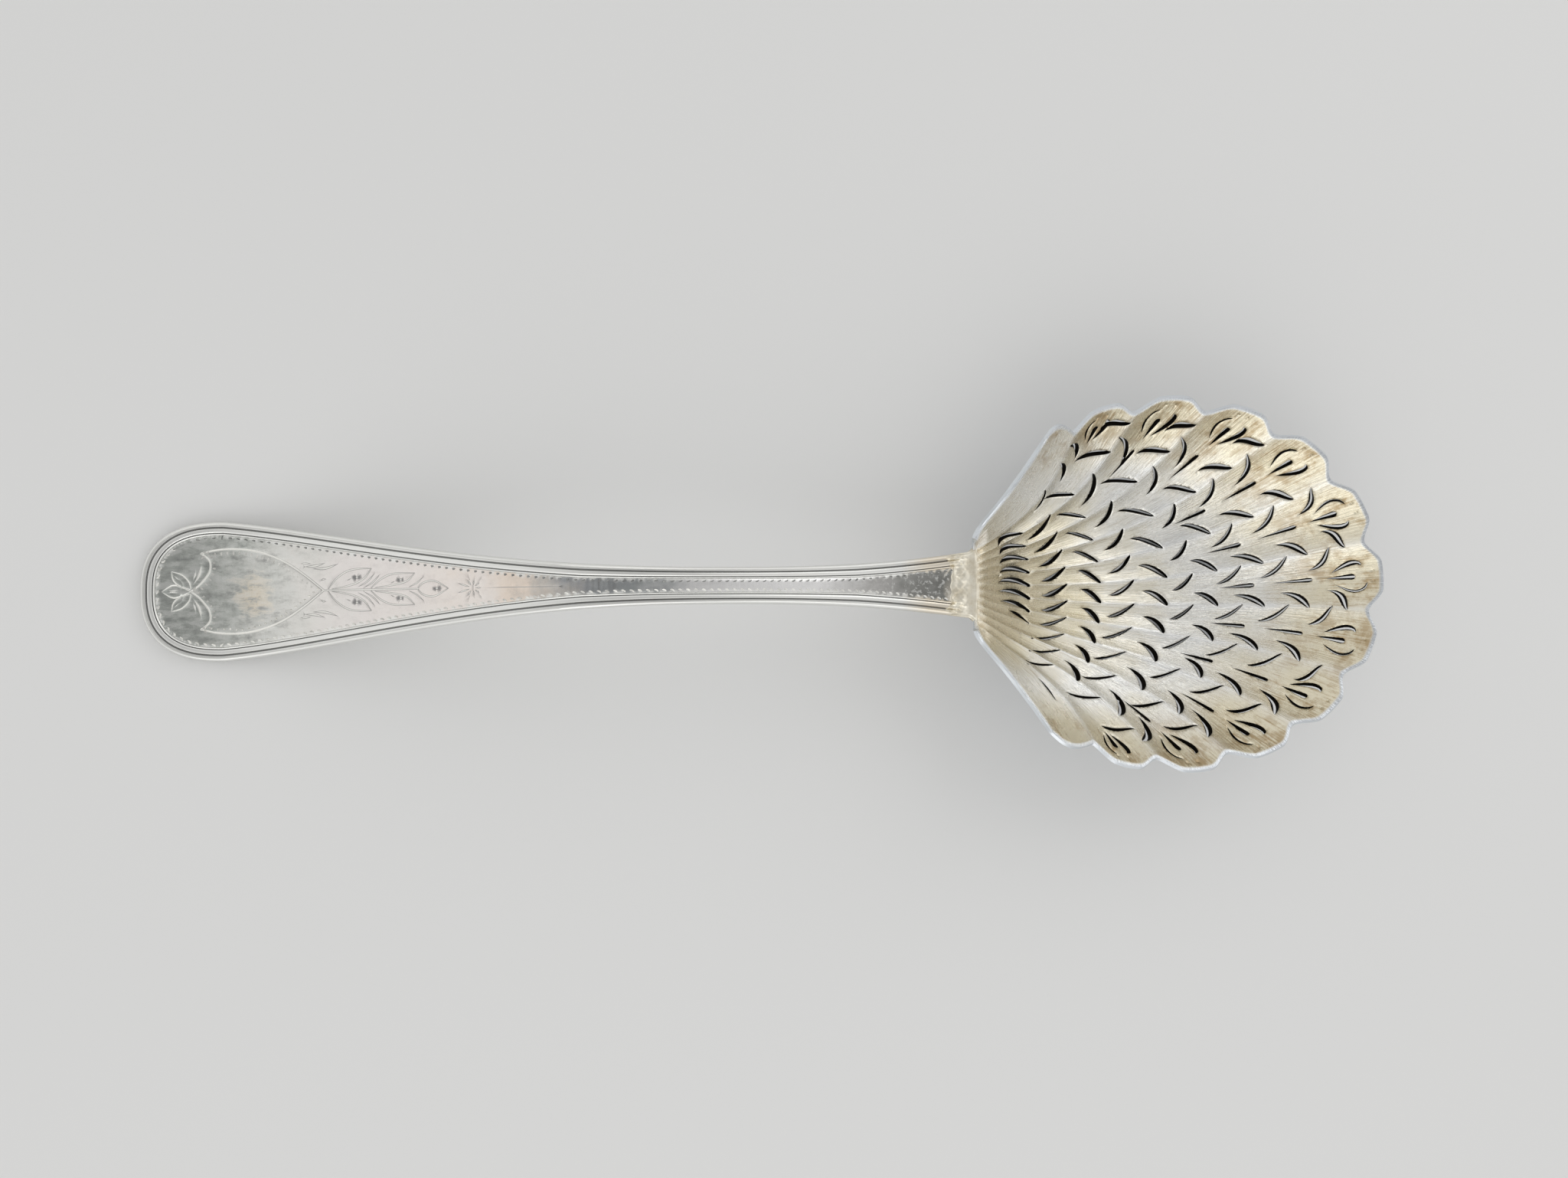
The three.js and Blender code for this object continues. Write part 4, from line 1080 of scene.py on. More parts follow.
def engraving_strokes():
    """Every engraved stroke as (line, half width, depth share, taper), most of them on both sides."""
    strokes = []

    def line(points, half, depth, taper=0.6, mirrored=True):
        """One stroke, and its mirror image over the handle's middle."""
        path = catmull(points)
        half = half * STROKE_WIDTH
        strokes.append((path, half, depth, taper))
        if mirrored:
            strokes.append((path * (1, -1), half, depth, taper))

    line(SHIELD_SIDE, 0.22, 1.0, 0.15)
    line(SHIELD_BRACE, 0.21, 1.0, 0.15)
    # Flower with three petals and comma leaves
    line([(7.4, 0.45), (7.15, 1.5), (6.1, 2.65), (4.6, 3.15)], 0.15, 0.9)
    line([(7.3, 0.35), (5.8, 0.85), (4.85, 1.85), (4.6, 3.15)], 0.15, 0.9)
    line([(7.2, 0.1), (6.0, 0.75), (4.7, 0.95), (3.2, 0.0)], 0.15, 0.9)
    line([(5.6, 1.9), (5.1, 2.4)], 0.12, 0.6)
    line([(5.4, 0.15), (4.4, 0.1)], 0.12, 0.6)
    line([(6.2, 1.35), (5.9, 1.8)], 0.1, 0.6)
    line([(7.8, 1.15), (8.45, 2.2), (8.8, 3.2), (8.9, 4.1)], 0.24, 1.0, 1.0)
    line([(7.75, 1.9), (8.0, 2.5), (8.1, 3.1)], 0.16, 0.8, 1.0)
    # Feathers beside the shield's point
    line([(24.3, 4.25), (25.0, 4.3), (25.9, 4.2)], 0.15, 0.8, 1.0)
    line([(25.0, 3.75), (26.5, 3.85), (28.1, 4.25)], 0.2, 0.9, 1.0)
    line([(26.2, 3.4), (28.2, 3.45), (30.2, 4.1)], 0.2, 0.9, 1.0)
    line([(27.5, 1.5), (27.9, 1.75), (28.3, 1.75)], 0.16, 0.7, 1.0)
    # Spray of leaves on a stem
    line([(27.7, 0.0), (42.9, 0.0)], 0.16, 0.9, 0.3, mirrored=False)
    line([(28.6, 0.1), (29.9, 1.75), (31.7, 2.95), (33.6, 3.3), (35.5, 3.3)], 0.15, 0.9)
    line([(35.5, 3.3), (34.5, 1.9), (33.0, 1.0), (31.2, 0.5), (29.3, 0.2)], 0.15, 0.9)
    line([(33.5, 0.5), (34.9, 1.3), (36.0, 2.5)], 0.13, 0.7, 0.9)
    line([(34.4, 0.35), (35.8, 1.2), (36.8, 2.3)], 0.13, 0.7, 0.9)
    line([(35.4, 0.15), (37.0, 1.6), (39.0, 2.4), (42.3, 2.45)], 0.15, 0.9)
    line([(42.3, 2.45), (41.0, 1.2), (38.6, 0.6), (36.2, 0.3)], 0.15, 0.9)
    line([(41.4, 0.3), (42.6, 0.9), (43.7, 1.9)], 0.12, 0.7, 0.9)
    line([(42.7, 0.0), (43.7, 0.95), (45.4, 1.15), (47.5, 0.0)], 0.15, 0.9)
    for x, y in ((33.2, 1.95), (40.1, 1.4)):
        line([(x - 0.2, y), (x, y + 0.03), (x + 0.2, y)], 0.2, 0.9, 1.0)
        line([(x - 1.6, y - 0.5), (x - 0.9, y - 0.15)], 0.09, 0.5, 1.0)
    line([(45.5, 0.0), (45.7, 0.03), (45.9, 0.0)], 0.2, 0.9, 1.0, mirrored=False)
    # Floret of dashes and a fine line that dies out
    for k in range(FLORET_DASHES):
        turn = np.pi * 2 * (k + 0.5) / FLORET_DASHES + np.pi
        reach = 1.25 + 1.25 * max(0, -np.cos(turn)) ** 2
        ends = [(FLORET_X + r * np.cos(turn), 0.9 * r * np.sin(turn)) for r in (0.5, reach)]
        line(ends, 0.14, 0.8, 1.0, mirrored=False)
    for k in range(5):
        turn = np.pi * (k - 2) / 3.4
        ends = [(FLORET_X + r * np.cos(turn), 0.8 * r * np.sin(turn)) for r in (1.6, 2.1)]
        line(ends, 0.12, 0.7, 1.0, mirrored=False)
    line([(53.6, 0.0), (64.0, 0.0)], 0.08, 0.5, 0.8, mirrored=False)
    return strokes


def stroke_halves(path, half, taper):
    """Half widths along a stroke: taper 0 keeps it even, 1 makes it a leaf."""
    way = np.linspace(0, 1, len(path))
    leaf = np.sin(np.pi * np.clip(way, 0.02, 0.98)) ** 0.75
    return half * ((1 - taper) + taper * leaf)


def groove_depth(points, strokes):
    """How deep the engraving is at plan points, as a share of the deepest stroke."""
    deepest = np.zeros(len(points))
    for path, half, depth, taper in strokes:
        halves = stroke_halves(path, half, taper)
        low, high = path.min(0) - half, path.max(0) + half
        near = np.flatnonzero(np.all((points >= low) & (points <= high), axis=1))
        if not len(near):
            continue
        a, b = path[:-1], path[1:]
        way = b - a
        span = np.maximum((way**2).sum(1), 1e-12)
        p = points[near][:, None, :]
        t = np.clip(((p - a) * way).sum(2) / span, 0, 1)
        gap = np.linalg.norm(p - (a + way * t[..., None]), axis=2)
        width = halves[:-1] + (halves[1:] - halves[:-1]) * t
        cut = np.clip(1 - gap / np.maximum(width, 1e-6), 0, 1) * width / half * depth
        deepest[near] = np.maximum(deepest[near], cut.max(1))
    return deepest


def engraved_panel(ring):
    """The panel inside the border: a fine mesh that follows each engraved stroke."""
    strokes = engraving_strokes()
    points, edges, count = [ring], [], len(ring)
    edges += [(k, (k + 1) % count) for k in range(count)]
    for path, half, _, taper in strokes:
        halves = stroke_halves(path, half, taper)
        aside = to_the_right(np.gradient(path, axis=0))
        for offset in (-1, 0, 1):
            points.append(path + offset * aside * halves[:, None])
            edges += [(count + k, count + k + 1) for k in range(len(path) - 1)]
            count += len(path)
    grid = []
    for k, x in enumerate(np.arange(PANEL_START, SEAT_X - 0.2, PANEL_SPACING)):
        y = np.arange(-PANEL_HALF, PANEL_HALF + 0.05, PANEL_SPACING) + (k % 2) * PANEL_SPACING / 2
        grid.append(np.stack([np.full_like(y, x), y], -1))
    grid = np.concatenate(grid)
    grid = grid[inside_outline(grid, grown(ring, -PANEL_CLEAR))]
    near = groove_depth(grid, [(path, half + STROKE_CLEAR, depth, 0) for path, half, depth, _ in strokes])
    points.append(grid[near <= 0])
    flat = np.concatenate(points)
    placed, _, triangles = triangulated(flat, edges, [np.arange(len(ring))], [])
    depth = groove_depth(placed, strokes)
    return placed, triangles, depth


def handle_mesh(settings):
    """Points, faces and the masks of the whole handle: engraving, panel and grooves."""
    rows, grooves = handle_sections(settings)
    stations, around = rows.shape[:2]
    right = rows * (1, -1, 1)
    points = [rows.reshape(-1, 3), right.reshape(-1, 3)]
    half_count = stations * around
    left_id = np.arange(half_count).reshape(stations, around)
    right_id = left_id + half_count
    faces = []
    for ids, flipped in ((left_id, False), (right_id, True)):
        a, b = ids[:-1, :-1].ravel(), ids[1:, :-1].ravel()
        c, d = ids[1:, 1:].ravel(), ids[:-1, 1:].ravel()
        quads = np.stack([a, b, c, d], -1)
        faces.append(quads[:, ::-1] if flipped else quads)
    engraved = [np.zeros(2 * half_count)]
    grooved = [np.tile(grooves, 2 * stations)]
    faces = [f for block in faces for f in block.tolist()]
    # Tongue: end face, seat and the step up to the panel
    for row in range(around - 1):
        faces.append([left_id[0, row], left_id[0, row + 1], right_id[0, row + 1], right_id[0, row]])
    inner = around - 1
    faces.append([left_id[0, inner], left_id[1, inner], right_id[1, inner], right_id[0, inner]])
    # Panel
    first_panel = 2
    ring_left = rows[first_panel:, inner, :2]
    tip_ids = np.flatnonzero(ring_left[:, 1] <= 1e-9)
    last = tip_ids[0] if len(tip_ids) else len(ring_left) - 1
    ring_left = ring_left[: last + 1]
    ring = np.concatenate([ring_left, (ring_left * (1, -1))[:-1][::-1]])
    flat, triangles, depth = engraved_panel(ring)
    z = panel_height(flat[:, 0]) - depth * settings.engraving / MM
    base = 2 * half_count
    points.append(np.column_stack([flat, z]))
    engraved.append(depth)
    grooved.append(0 * depth)
    faces += (triangles + base).tolist()
    end_left, end_right = left_id[first_panel, inner], right_id[first_panel, inner]
    faces.append([left_id[1, inner], end_left, end_right, right_id[1, inner]])
    masks = {"engraved": np.concatenate(engraved), "grooved": np.concatenate(grooved)}
    masks["panel"] = (np.arange(len(masks["engraved"])) >= base).astype(float)
    return np.concatenate(points), faces, masks


# Materials


def noise(tree, vector, size, detail=4.0, rough=0.6):
    """A noise value, about 0.5 on average."""
    inputs = {"Vector": vector, "Scale": size, "Detail": detail, "Roughness": rough}
    return Field(tree, new_node(tree, "ShaderNodeTexNoise", inputs).outputs[0])


def stretched(tree, place, scale, turn=0.0):
    """Coordinates turned about the upright and scaled, for noise drawn out into streaks."""
    inputs = {"Vector": place, "Rotation": (0.0, 0.0, turn), "Scale": scale}
    return new_node(tree, "ShaderNodeMapping", inputs)


def mixed(tree, amount, first, second):
    """The colour that lies by amount between two colours."""
    inputs = {"Factor": amount, 6: first, 7: second}
    return new_node(tree, "ShaderNodeMix", inputs, data_type="RGBA").outputs[2]


def ramp(tree, position, stops):
    """The colour at a position between stops of place and colour."""
    node = new_node(tree, "ShaderNodeValToRGB", {"Fac": position})
    tones = node.color_ramp.elements
    tones[0].color = (*stops[0][1], 1)
    tones[1].color = (*stops[-1][1], 1)
    for place, colour in stops[1:-1]:
        tones.new(place).color = (*colour, 1)
    return node.outputs[0]


def own_value(tree, name):
    """A value kept on the piece's own points."""
    return Field(tree, new_node(tree, "ShaderNodeAttribute", attribute_name=name).outputs["Fac"])


def metal_group():
    """Worn metal: a clean and a tarnished colour mixed by noise and a mask, with gloss and fine relief."""
    tree = bpy.data.node_groups.new("Worn metal", "ShaderNodeTree")
    for way, kind, labels in (
        ("INPUT", "NodeSocketColor", ("Clean", "Tarnished")),
        ("INPUT", "NodeSocketFloat", ("Mask", "Mottle", "Mottle size", "Gloss", "Scratches")),
        ("OUTPUT", "NodeSocketColor", ("Colour",)),
        ("OUTPUT", "NodeSocketFloat", ("Roughness", "Height")),
    ):
        for label in labels:
            tree.interface.new_socket(label, in_out=way, socket_type=kind)
    given, end = tree.nodes.new("NodeGroupInput").outputs, tree.nodes.new("NodeGroupOutput").inputs
    place = new_node(tree, "ShaderNodeTexCoord").outputs["Object"]
    amount = noise(tree, place, given["Mottle size"], 5.0, 0.62) - 0.5
    mask = (Field(tree, given["Mask"]) + amount * Field(tree, given["Mottle"])).clamped()
    hair = noise(tree, stretched(tree, place, HAIR_SCALE, HAIR_TURN), 1.0, 2.0, 0.5)
    hair_across = noise(tree, stretched(tree, place, CROSS_SCALE, CROSS_TURN), 1.0, 2.0, 0.5)
    pits = noise(tree, place, PIT_SCALE, 3.0, 0.6)
    lines = (hair + hair_across) * 0.5
    height = lines * Field(tree, given["Scratches"]) + pits * 0.35
    rough = Field(tree, given["Gloss"]) + amount * 0.16 + mask * 0.12 + (lines - 0.5) * 0.2
    tree.links.new(mixed(tree, mask, given["Clean"], given["Tarnished"]), end["Colour"])
    tree.links.new(rough.at_least(0.08).at_most(0.75).socket, end["Roughness"])
    tree.links.new(height.socket, end["Height"])
    return tree


def material(name, viewport):
    """A new metal material. Returns it with its tree and its Principled shader."""
    made = bpy.data.materials.new(name)
    made.use_nodes = True
    made.diffuse_color = (*viewport, 1.0)
    tree = made.node_tree
    shader = tree.nodes["Principled BSDF"]
    shader.inputs["Metallic"].default_value = 1.0
    return made, tree, shader


def use_metal(tree, shader, clean, tarnished, *, mask, mottle, size, gloss, scratches, bump):
    """Puts the worn metal group into a material. Returns the group and the bump it gives the shader."""
    inputs = {"Clean": clean, "Tarnished": tarnished, "Mask": mask}
    inputs.update({"Mottle": mottle, "Mottle size": size, "Gloss": gloss, "Scratches": scratches})
    worn_metal = bpy.data.node_groups.get("Worn metal") or metal_group()
    group = new_node(tree, "ShaderNodeGroup", inputs, node_tree=worn_metal)
    height = {"Height": group.outputs["Height"], "Strength": bump, "Distance": METAL_BUMP}
    relief = new_node(tree, "ShaderNodeBump", height)
    tree.links.new(group.outputs["Colour"], shader.inputs["Base Color"])
    tree.links.new(group.outputs["Roughness"], shader.inputs["Roughness"])
    tree.links.new(relief.outputs[0], shader.inputs["Normal"])
    return group, relief


# Where the colour changes: the rib past which the +Y wing is painted paler as a painted highlight, and the
# shares of the way to the rim at which the fine streaks and the brown tarnish begin
PAINTED_HIGHLIGHT_WING_FROM = 5.3
FINE_STREAKS_FROM = 0.15
BROWN_FROM = 0.68


def gilt_material(settings):
    """Worn gilding: white in the middle and on the ribs, the ribs partly as a painted highlight, brown in the
    lobes, streaked along the flutes, with a painted highlight on the +Y wing and painted shade in the heel's
    pleats and towards +Y in the lobes.
    """
    made, tree, shader = material("parcel gilt silver", settings.gilt)
    share, rib = own_value(tree, "share"), own_value(tree, "rib")
    place = new_node(tree, "ShaderNodeTexCoord").outputs["Object"]
    cloud = noise(tree, place, 95.0, 4.0, 0.55)
    valley = (rib * math.pi).math("COSINE").math("ABSOLUTE")
    # Along the rib crests the colour turns pale: wear of the gilding, and a painted highlight on the ridges
    crest_wear_and_highlight = (valley * -1.0 + 1.0) ** 3
    middle = ((share - 0.5).math("ABSOLUTE") * -2.8 + 1.1 + (cloud - 0.5) * 1.8).clamped()
    worn = (middle * 0.85 + crest_wear_and_highlight * 0.5).at_most(1)
    colour = mixed(tree, worn, (*settings.gilt, 1), (*settings.worn, 1))
    heel = (share * -7.0 + 1.0).at_least(0)
    colour = mixed(tree, heel * 0.8, colour, (*settings.heel, 1))
    # Painted highlight: the +Y wing is mixed towards the pale worn colour, as if lit more brightly
    painted_highlight_wing = ((rib - PAINTED_HIGHLIGHT_WING_FROM) * 2.0).at_least(0).at_most(0.6)
    colour = mixed(tree, painted_highlight_wing, colour, (*settings.worn, 1))
    bare = own_value(tree, "rim")
    colour = mixed(tree, bare, colour, (*settings.edge, 1))
    # Streaks along the flutes, finer towards the rim
    near = new_node(tree, "ShaderNodeCombineXYZ", {"X": rib * 15.0, "Y": share * 6.0})
    far = new_node(tree, "ShaderNodeCombineXYZ", {"X": rib * 38.0, "Y": share * 9.0})
    outward = ((share - FINE_STREAKS_FROM) * 2.5).clamped()
    near_streak, far_streak = noise(tree, near, 1.0, 3.0, 0.6), noise(tree, far, 1.0, 4.0, 0.65)
    streak = near_streak + (far_streak - near_streak) * outward
    # Orange brown tarnish in the lobes near the rim, with more of it towards +Y as painted shade
    fleck = noise(tree, place, 330.0, 5.0, 0.65)
    shaded_side = (rib * 0.015 + 0.07).at_least(0)
    near_rim = ((share - BROWN_FROM) * 4.0 + shaded_side).clamped()
    patches = (fleck - 0.47) * 5.0 + (cloud - 0.48) * 2.5 + (streak - 0.5) * 2.5 + shaded_side
    brown = near_rim * (valley * 0.6 + 0.4) * patches.clamped() * 0.8
    # The pleats at the heel are dulled between their bright ridges: painted shade in their valleys
    heel_pleat_painted_shade = heel * valley**2.0 * 0.3
    mask = (brown + heel_pleat_painted_shade + (streak - 0.52).at_least(0) * 1.7).at_most(0.8) * (bare * -1.0 + 1.0)
    wear = {"mottle": 0.12, "size": 240.0, "gloss": 0.24, "scratches": 0.5, "bump": 0.07}
    _, relief = use_metal(tree, shader, colour, (*settings.tarnish, 1), mask=mask, **wear)
    height = {"Height": streak, "Strength": 0.5, "Distance": 0.0003, "Normal": relief}
    lines = new_node(tree, "ShaderNodeBump", height)
    tree.links.new(lines.outputs[0], shader.inputs["Normal"])
    return made


def plain_material(name, colour, tarnished, **wear):
    """One colour of metal under an even tarnish."""
    made, tree, shader = material(name, colour)
    use_metal(tree, shader, (*colour, 1), (*tarnished, 1), **wear)
    return made


def edge_material(settings):
    """The sheet's bare silver, at its edge and outside."""
    wear = {"mask": 0.08, "mottle": 0.4, "size": 300.0, "gloss": 0.32, "scratches": 0.5, "bump": 0.15}
    return plain_material("silver sheet edge", settings.edge, EDGE_TARNISH, **wear)


def painted_shade_wall_material(settings):
    """The sawn walls of the slots, near black as painted shade, with polish and some tarnish."""
    wear = {"mask": 0.3, "mottle": 0.8, "size": 900.0, "gloss": 0.6, "scratches": 1.0, "bump": 0.4}
    return plain_material("slot wall", settings.wall, WALL_PAINTED_SHADE, **wear)


def cut_material(name, colour):
    """The bright cuts' silver, which glints unevenly."""
    wear = {"mask": 0.25, "mottle": 2.2, "size": 900.0, "gloss": 0.36, "scratches": 0.5, "bump": 0.2}
    return plain_material(name, colour, [CUT_TARNISH * part for part in colour], **wear)


def solder_material(settings):
    """Rough cream solder, pitted and a little browned."""
    wear = {"mask": 0.25, "mottle": 2.2, "size": 500.0, "gloss": 0.4, "scratches": 0.8, "bump": 0.8}
    return plain_material("silver solder", settings.colour, SOLDER_TARNISH, **wear)


# Where the panel changes, in millimetres from the tip: its clouding calms, its cross streaks lie, the neck's
# specks begin and the border turns warm. The tones wander along it by as much as half of the last number.
CALM_FROM = 18.0
STREAKS_AT = 71.0
SPECKS_FROM = 110.0
WARM_FROM = 119.0
TONE_WANDER = 24.0

# Tones of the panel from the tip to the neck: distance in millimetres, and colour.
# The dark band from 62 to 76, over the top of the arch, is a painted reflection of the camera straight above
# it
PANEL_TONES = (
    (0, (0.47, 0.49, 0.46)),
    (12, (0.60, 0.62, 0.58)),
    (20, (0.73, 0.73, 0.69)),
    (27, (0.79, 0.77, 0.73)),
    (33, (0.82, 0.78, 0.75)),
    (50, (0.85, 0.79, 0.74)),
    (58, (0.84, 0.73, 0.63)),
    (62, (0.64, 0.60, 0.55)),
    (67, (0.42, 0.43, 0.44)),
    (76, (0.44, 0.46, 0.46)),
    (84, (0.92, 0.91, 0.90)),
    (104, (0.90, 0.89, 0.88)),
    (116, (0.52, 0.51, 0.49)),
    (127, (0.28, 0.28, 0.26)),
)
# The warm stain inside the shield: its middle and its reach along and across
STAIN_AT = (17.0, -0.7)
STAIN_SIZE = (3.0, 3.6)


def silver_material(settings):
    """The handle's silver: a satin border, cuts painted white as clean silver and a painted highlight, with
    painted shade beside them, and a panel with clouds of thin tarnish and a painted reflection over the arch.
    """
    made, tree, shader = material("handle silver", settings.silver)
    place = new_node(tree, "ShaderNodeTexCoord").outputs["Object"]
    parts = new_node(tree, "ShaderNodeSeparateXYZ", {"Vector": place}).outputs
    along, aside = Field(tree, parts["X"]) / MM - TIP, Field(tree, parts["Y"]) / MM
    cloud = noise(tree, place, 150.0, 5.0, 0.6)
    speckle = noise(tree, place, 1300.0, 3.0, 0.7)
    engraved, panel, grooved = (own_value(tree, name) for name in ("engraved", "panel", "grooved"))
    reach = PANEL_TONES[-1][0]
    wander = (along + (cloud - 0.5) * TONE_WANDER) / reach
    tones_now = ramp(tree, wander, [(distance / reach, colour) for distance, colour in PANEL_TONES])
    smears = noise(tree, stretched(tree, place, (380.0, 900.0, 400.0)), 1.0, 4.0, 0.65)
    # A warm stain in the middle of the shield, and smears over the whole panel
    from_stain = ((along - STAIN_AT[0]) / STAIN_SIZE[0]) ** 2 + ((aside - STAIN_AT[1]) / STAIN_SIZE[1]) ** 2
    stain = (from_stain * -0.7 + 0.7 + (cloud - 0.5) * 2.5 + (smears - 0.5) * 5.0).at_least(0).at_most(0.85)
    tones_now = mixed(tree, stain, tones_now, (*settings.stain, 1))
    calm = ((along - CALM_FROM) * 0.1).at_least(0).at_most(0.8)
    bright = ((smears - 0.49) * 8.0).clamped() * (calm * -0.5 + 0.5)
    tones_now = mixed(tree, bright, tones_now, (*settings.silver, 1))
    near_neck = ((along - SPECKS_FROM) * 0.06).clamped()
    specks = ((speckle - 0.55) * 14.0).clamped() * near_neck * 0.8
    tones_now = mixed(tree, specks, tones_now, (*settings.silver, 1))
    warm = ((along - WARM_FROM) * 0.16).at_least(0).at_most(0.75)
    border_now = mixed(tree, warm, (*settings.silver, 1), (*settings.stain, 1))
    colour = mixed(tree, panel, border_now, tones_now)
    # Engraved strokes: clean cut silver, painted white and rougher as a painted highlight that shows from
    # every side
    clean_cut_and_highlight = ((engraved - 0.1) * 2.8).clamped() * 0.95
    # Painted shade: a thin dark line on both sides of each white stroke
    outline = (engraved * (engraved * -1.0 + 0.62) * 17.0).at_least(0) * calm
    colour = mixed(tree, clean_cut_and_highlight, colour, (*settings.cut, 1))
    # Cross streaks in the dark patch at the top of the arch, which is a painted reflection of the camera
    streak = noise(tree, stretched(tree, place, (900.0, 60.0, 60.0)), 1.0, 3.0, 0.7)
    on_arch = ((along - STREAKS_AT).math("ABSOLUTE") * -0.12 + 1.0).at_least(0)
    blotch = ((speckle - 0.5) * (near_neck * -5.0 + 1.2) + (smears - 0.5) * -3.0).at_least(0)
    blotch = blotch * (calm * -0.8 + 0.8)
    dark = (blotch + (streak - 0.5).at_least(0) * 3.0 * on_arch + outline) * panel * (clean_cut_and_highlight * -1.0 + 1.0)
    mask = (dark + grooved * 0.85).at_most(0.9)
    wear = {"mottle": 0.1, "size": 420.0, "gloss": 0.24, "scratches": 0.8, "bump": 0.22}
    group, _ = use_metal(tree, shader, colour, (*settings.shade, 1), mask=mask, **wear)
    rough = Field(tree, group.outputs["Roughness"]) + clean_cut_and_highlight * 0.2 + (panel * -1.0 + 1.0) * 0.1
    tree.links.new(rough.socket, shader.inputs["Roughness"])
    return made


# Operators


class SPOON_OT_shell_bowl(bpy.types.Operator):
    """Pierces the flat blank and strikes it into the fluted shell bowl"""

    bl_idname = "spoon.shell_bowl"
    bl_label = "Shell bowl"

    def execute(self, context):
        settings = context.scene.spoon_shell
        ruler = SheetRuler(settings)
        blank = pierced_blank(ruler, settings)
        points = np.concatenate(blank.points)
        flat, source, triangles = triangulated(points[:, :2], blank.edges, blank.loops[:1], blank.loops[1:])
        known = np.flatnonzero(source >= 0)
        for k in np.flatnonzero(source < 0):
            gaps = np.linalg.norm(flat[known] - flat[k], axis=1)
            source[k] = source[known[gaps.argmin()]]
        facts = points[source]
        layers = dict(zip(("rib", "share", "pierced", "rim"), facts[:, (2, 3, 6, 9)].T))
        layers.update(zip(("lift", "under"), facts[:, 4:6].T * MM))
        layers.update(zip(("inward_x", "inward_y"), facts[:, 7:9].T * MM))
        obj = mesh_object("shell", np.column_stack([flat, 0 * flat[:, 0]]), triangles, layers)
        lengths = (CENTRE_X + TIP, BOWL_NEAR, BOWL_FAR, BOWL_HALF, NOTCH_Z, HEEL_EASE)
        values = dict(zip(PLAN_SIZES, (*(value * MM for value in lengths), HEEL_SHARE, HEEL_FADE)))
        for name in STRUCK_SIZES:
            values[name] = getattr(settings, name.lower().replace(" ", "_"))
        values["Inside"] = gilt_material(settings)
        values["Outside"] = edge_material(settings)
        values["Slot walls"] = painted_shade_wall_material(settings)
        apply_tree(obj, strike_tree(), values)
        for name in ("lift", "under", "through", "pierced", "inward_x", "inward_y"):
            layer = obj.data.attributes.get(name)
            if layer:
                obj.data.attributes.remove(layer)
        finish_piece(obj, "bowl_gilt", "shell_bowl")
        return {"FINISHED"}


class SPOON_OT_handle(bpy.types.Operator):
    """Forges the handle with its reeded border and engraves its panel"""

    bl_idname = "spoon.handle"
    bl_label = "Handle"

    def execute(self, context):
        settings = context.scene.spoon_handle
        points, faces, masks = handle_mesh(settings)
        obj = mesh_object("handle_forging", points, faces, masks)
        weld(obj)
        obj.data.materials.append(silver_material(settings))
        finish_piece(obj, "handle_silver", "handle", sharp=38)
        return {"FINISHED"}


def weld(obj, distance=0.000002):
    """Merges points that lie on each other."""
    work = bmesh.new()
    work.from_mesh(obj.data)
    bmesh.ops.remove_doubles(work, verts=work.verts, dist=distance)
    bmesh.ops.dissolve_degenerate(work, edges=work.edges, dist=distance / 4)
    work.to_mesh(obj.data)
    work.free()


class SPOON_OT_bright_cuts(bpy.types.Operator):
    """Cuts the bright row inside the border and the ticks inside the shield"""

    bl_idname = "spoon.bright_cuts"
    bl_label = "Bright cuts"

    def execute(self, context):
        settings = context.scene.spoon_handle
        tree = cuts_tree()
        bright = cut_material("bright cut silver", settings.cut)
        # Painted shade: the +Y row of cuts, back from the tip, takes a dark copy of the cut silver
        dark = cut_material("painted shade cut silver", settings.far_cut_painted_shade)
        edge, out = handle_stations(step=0.3)
        width = border_width(edge[:, 0], settings.border)
        side = edge - out * (width + CUT_INSIDE)[:, None]
        side = side[side[:, 1] > 0.05]
        split = np.flatnonzero(side[:, 0] < CUTS_TURN_BRIGHT)[0]
        near = np.concatenate([side[split:], (side * (1, -1))[::-1]])
        pitch = settings.bead_pitch
        self.row("cuts_far", side[:split], tree, dark, pitch, FAR_CUT)
        self.row("cuts_near", near, tree, bright, pitch, NEAR_CUT)
        brace, half = catmull(SHIELD_BRACE, 0.15), catmull(SHIELD_SIDE, 0.15)
        shield = np.concatenate([brace[::-1], half[1:], (half * (1, -1))[::-1][1:], (brace * (1, -1))[1:-1]])
        self.row("shield_ticks", grown(shield, -TICKS_INSIDE), tree, bright, settings.tick_pitch, TICK)
        return {"FINISHED"}

    def row(self, name, line, tree, metal, pitch, cut):
        """One row of cuts along a line on the panel."""
        points = np.column_stack([line, panel_height(line[:, 0]) - CUT_SUNK])
        obj = mesh_object(name, points, [])
        edges = [(k, k + 1) for k in range(len(points) - 1)]
        obj.data.edges.add(len(edges))
        obj.data.edges.foreach_set("vertices", np.array(edges).ravel())
        values = {"Pitch": pitch, "Slant": cut[3], "Lean": cut[4], "Metal": metal}
        for label, size in zip(CUT_SIZES, cut):
            values[label] = size * MM
        apply_tree(obj, tree, values)
        finish_piece(obj, "handle_silver", sharp=20)


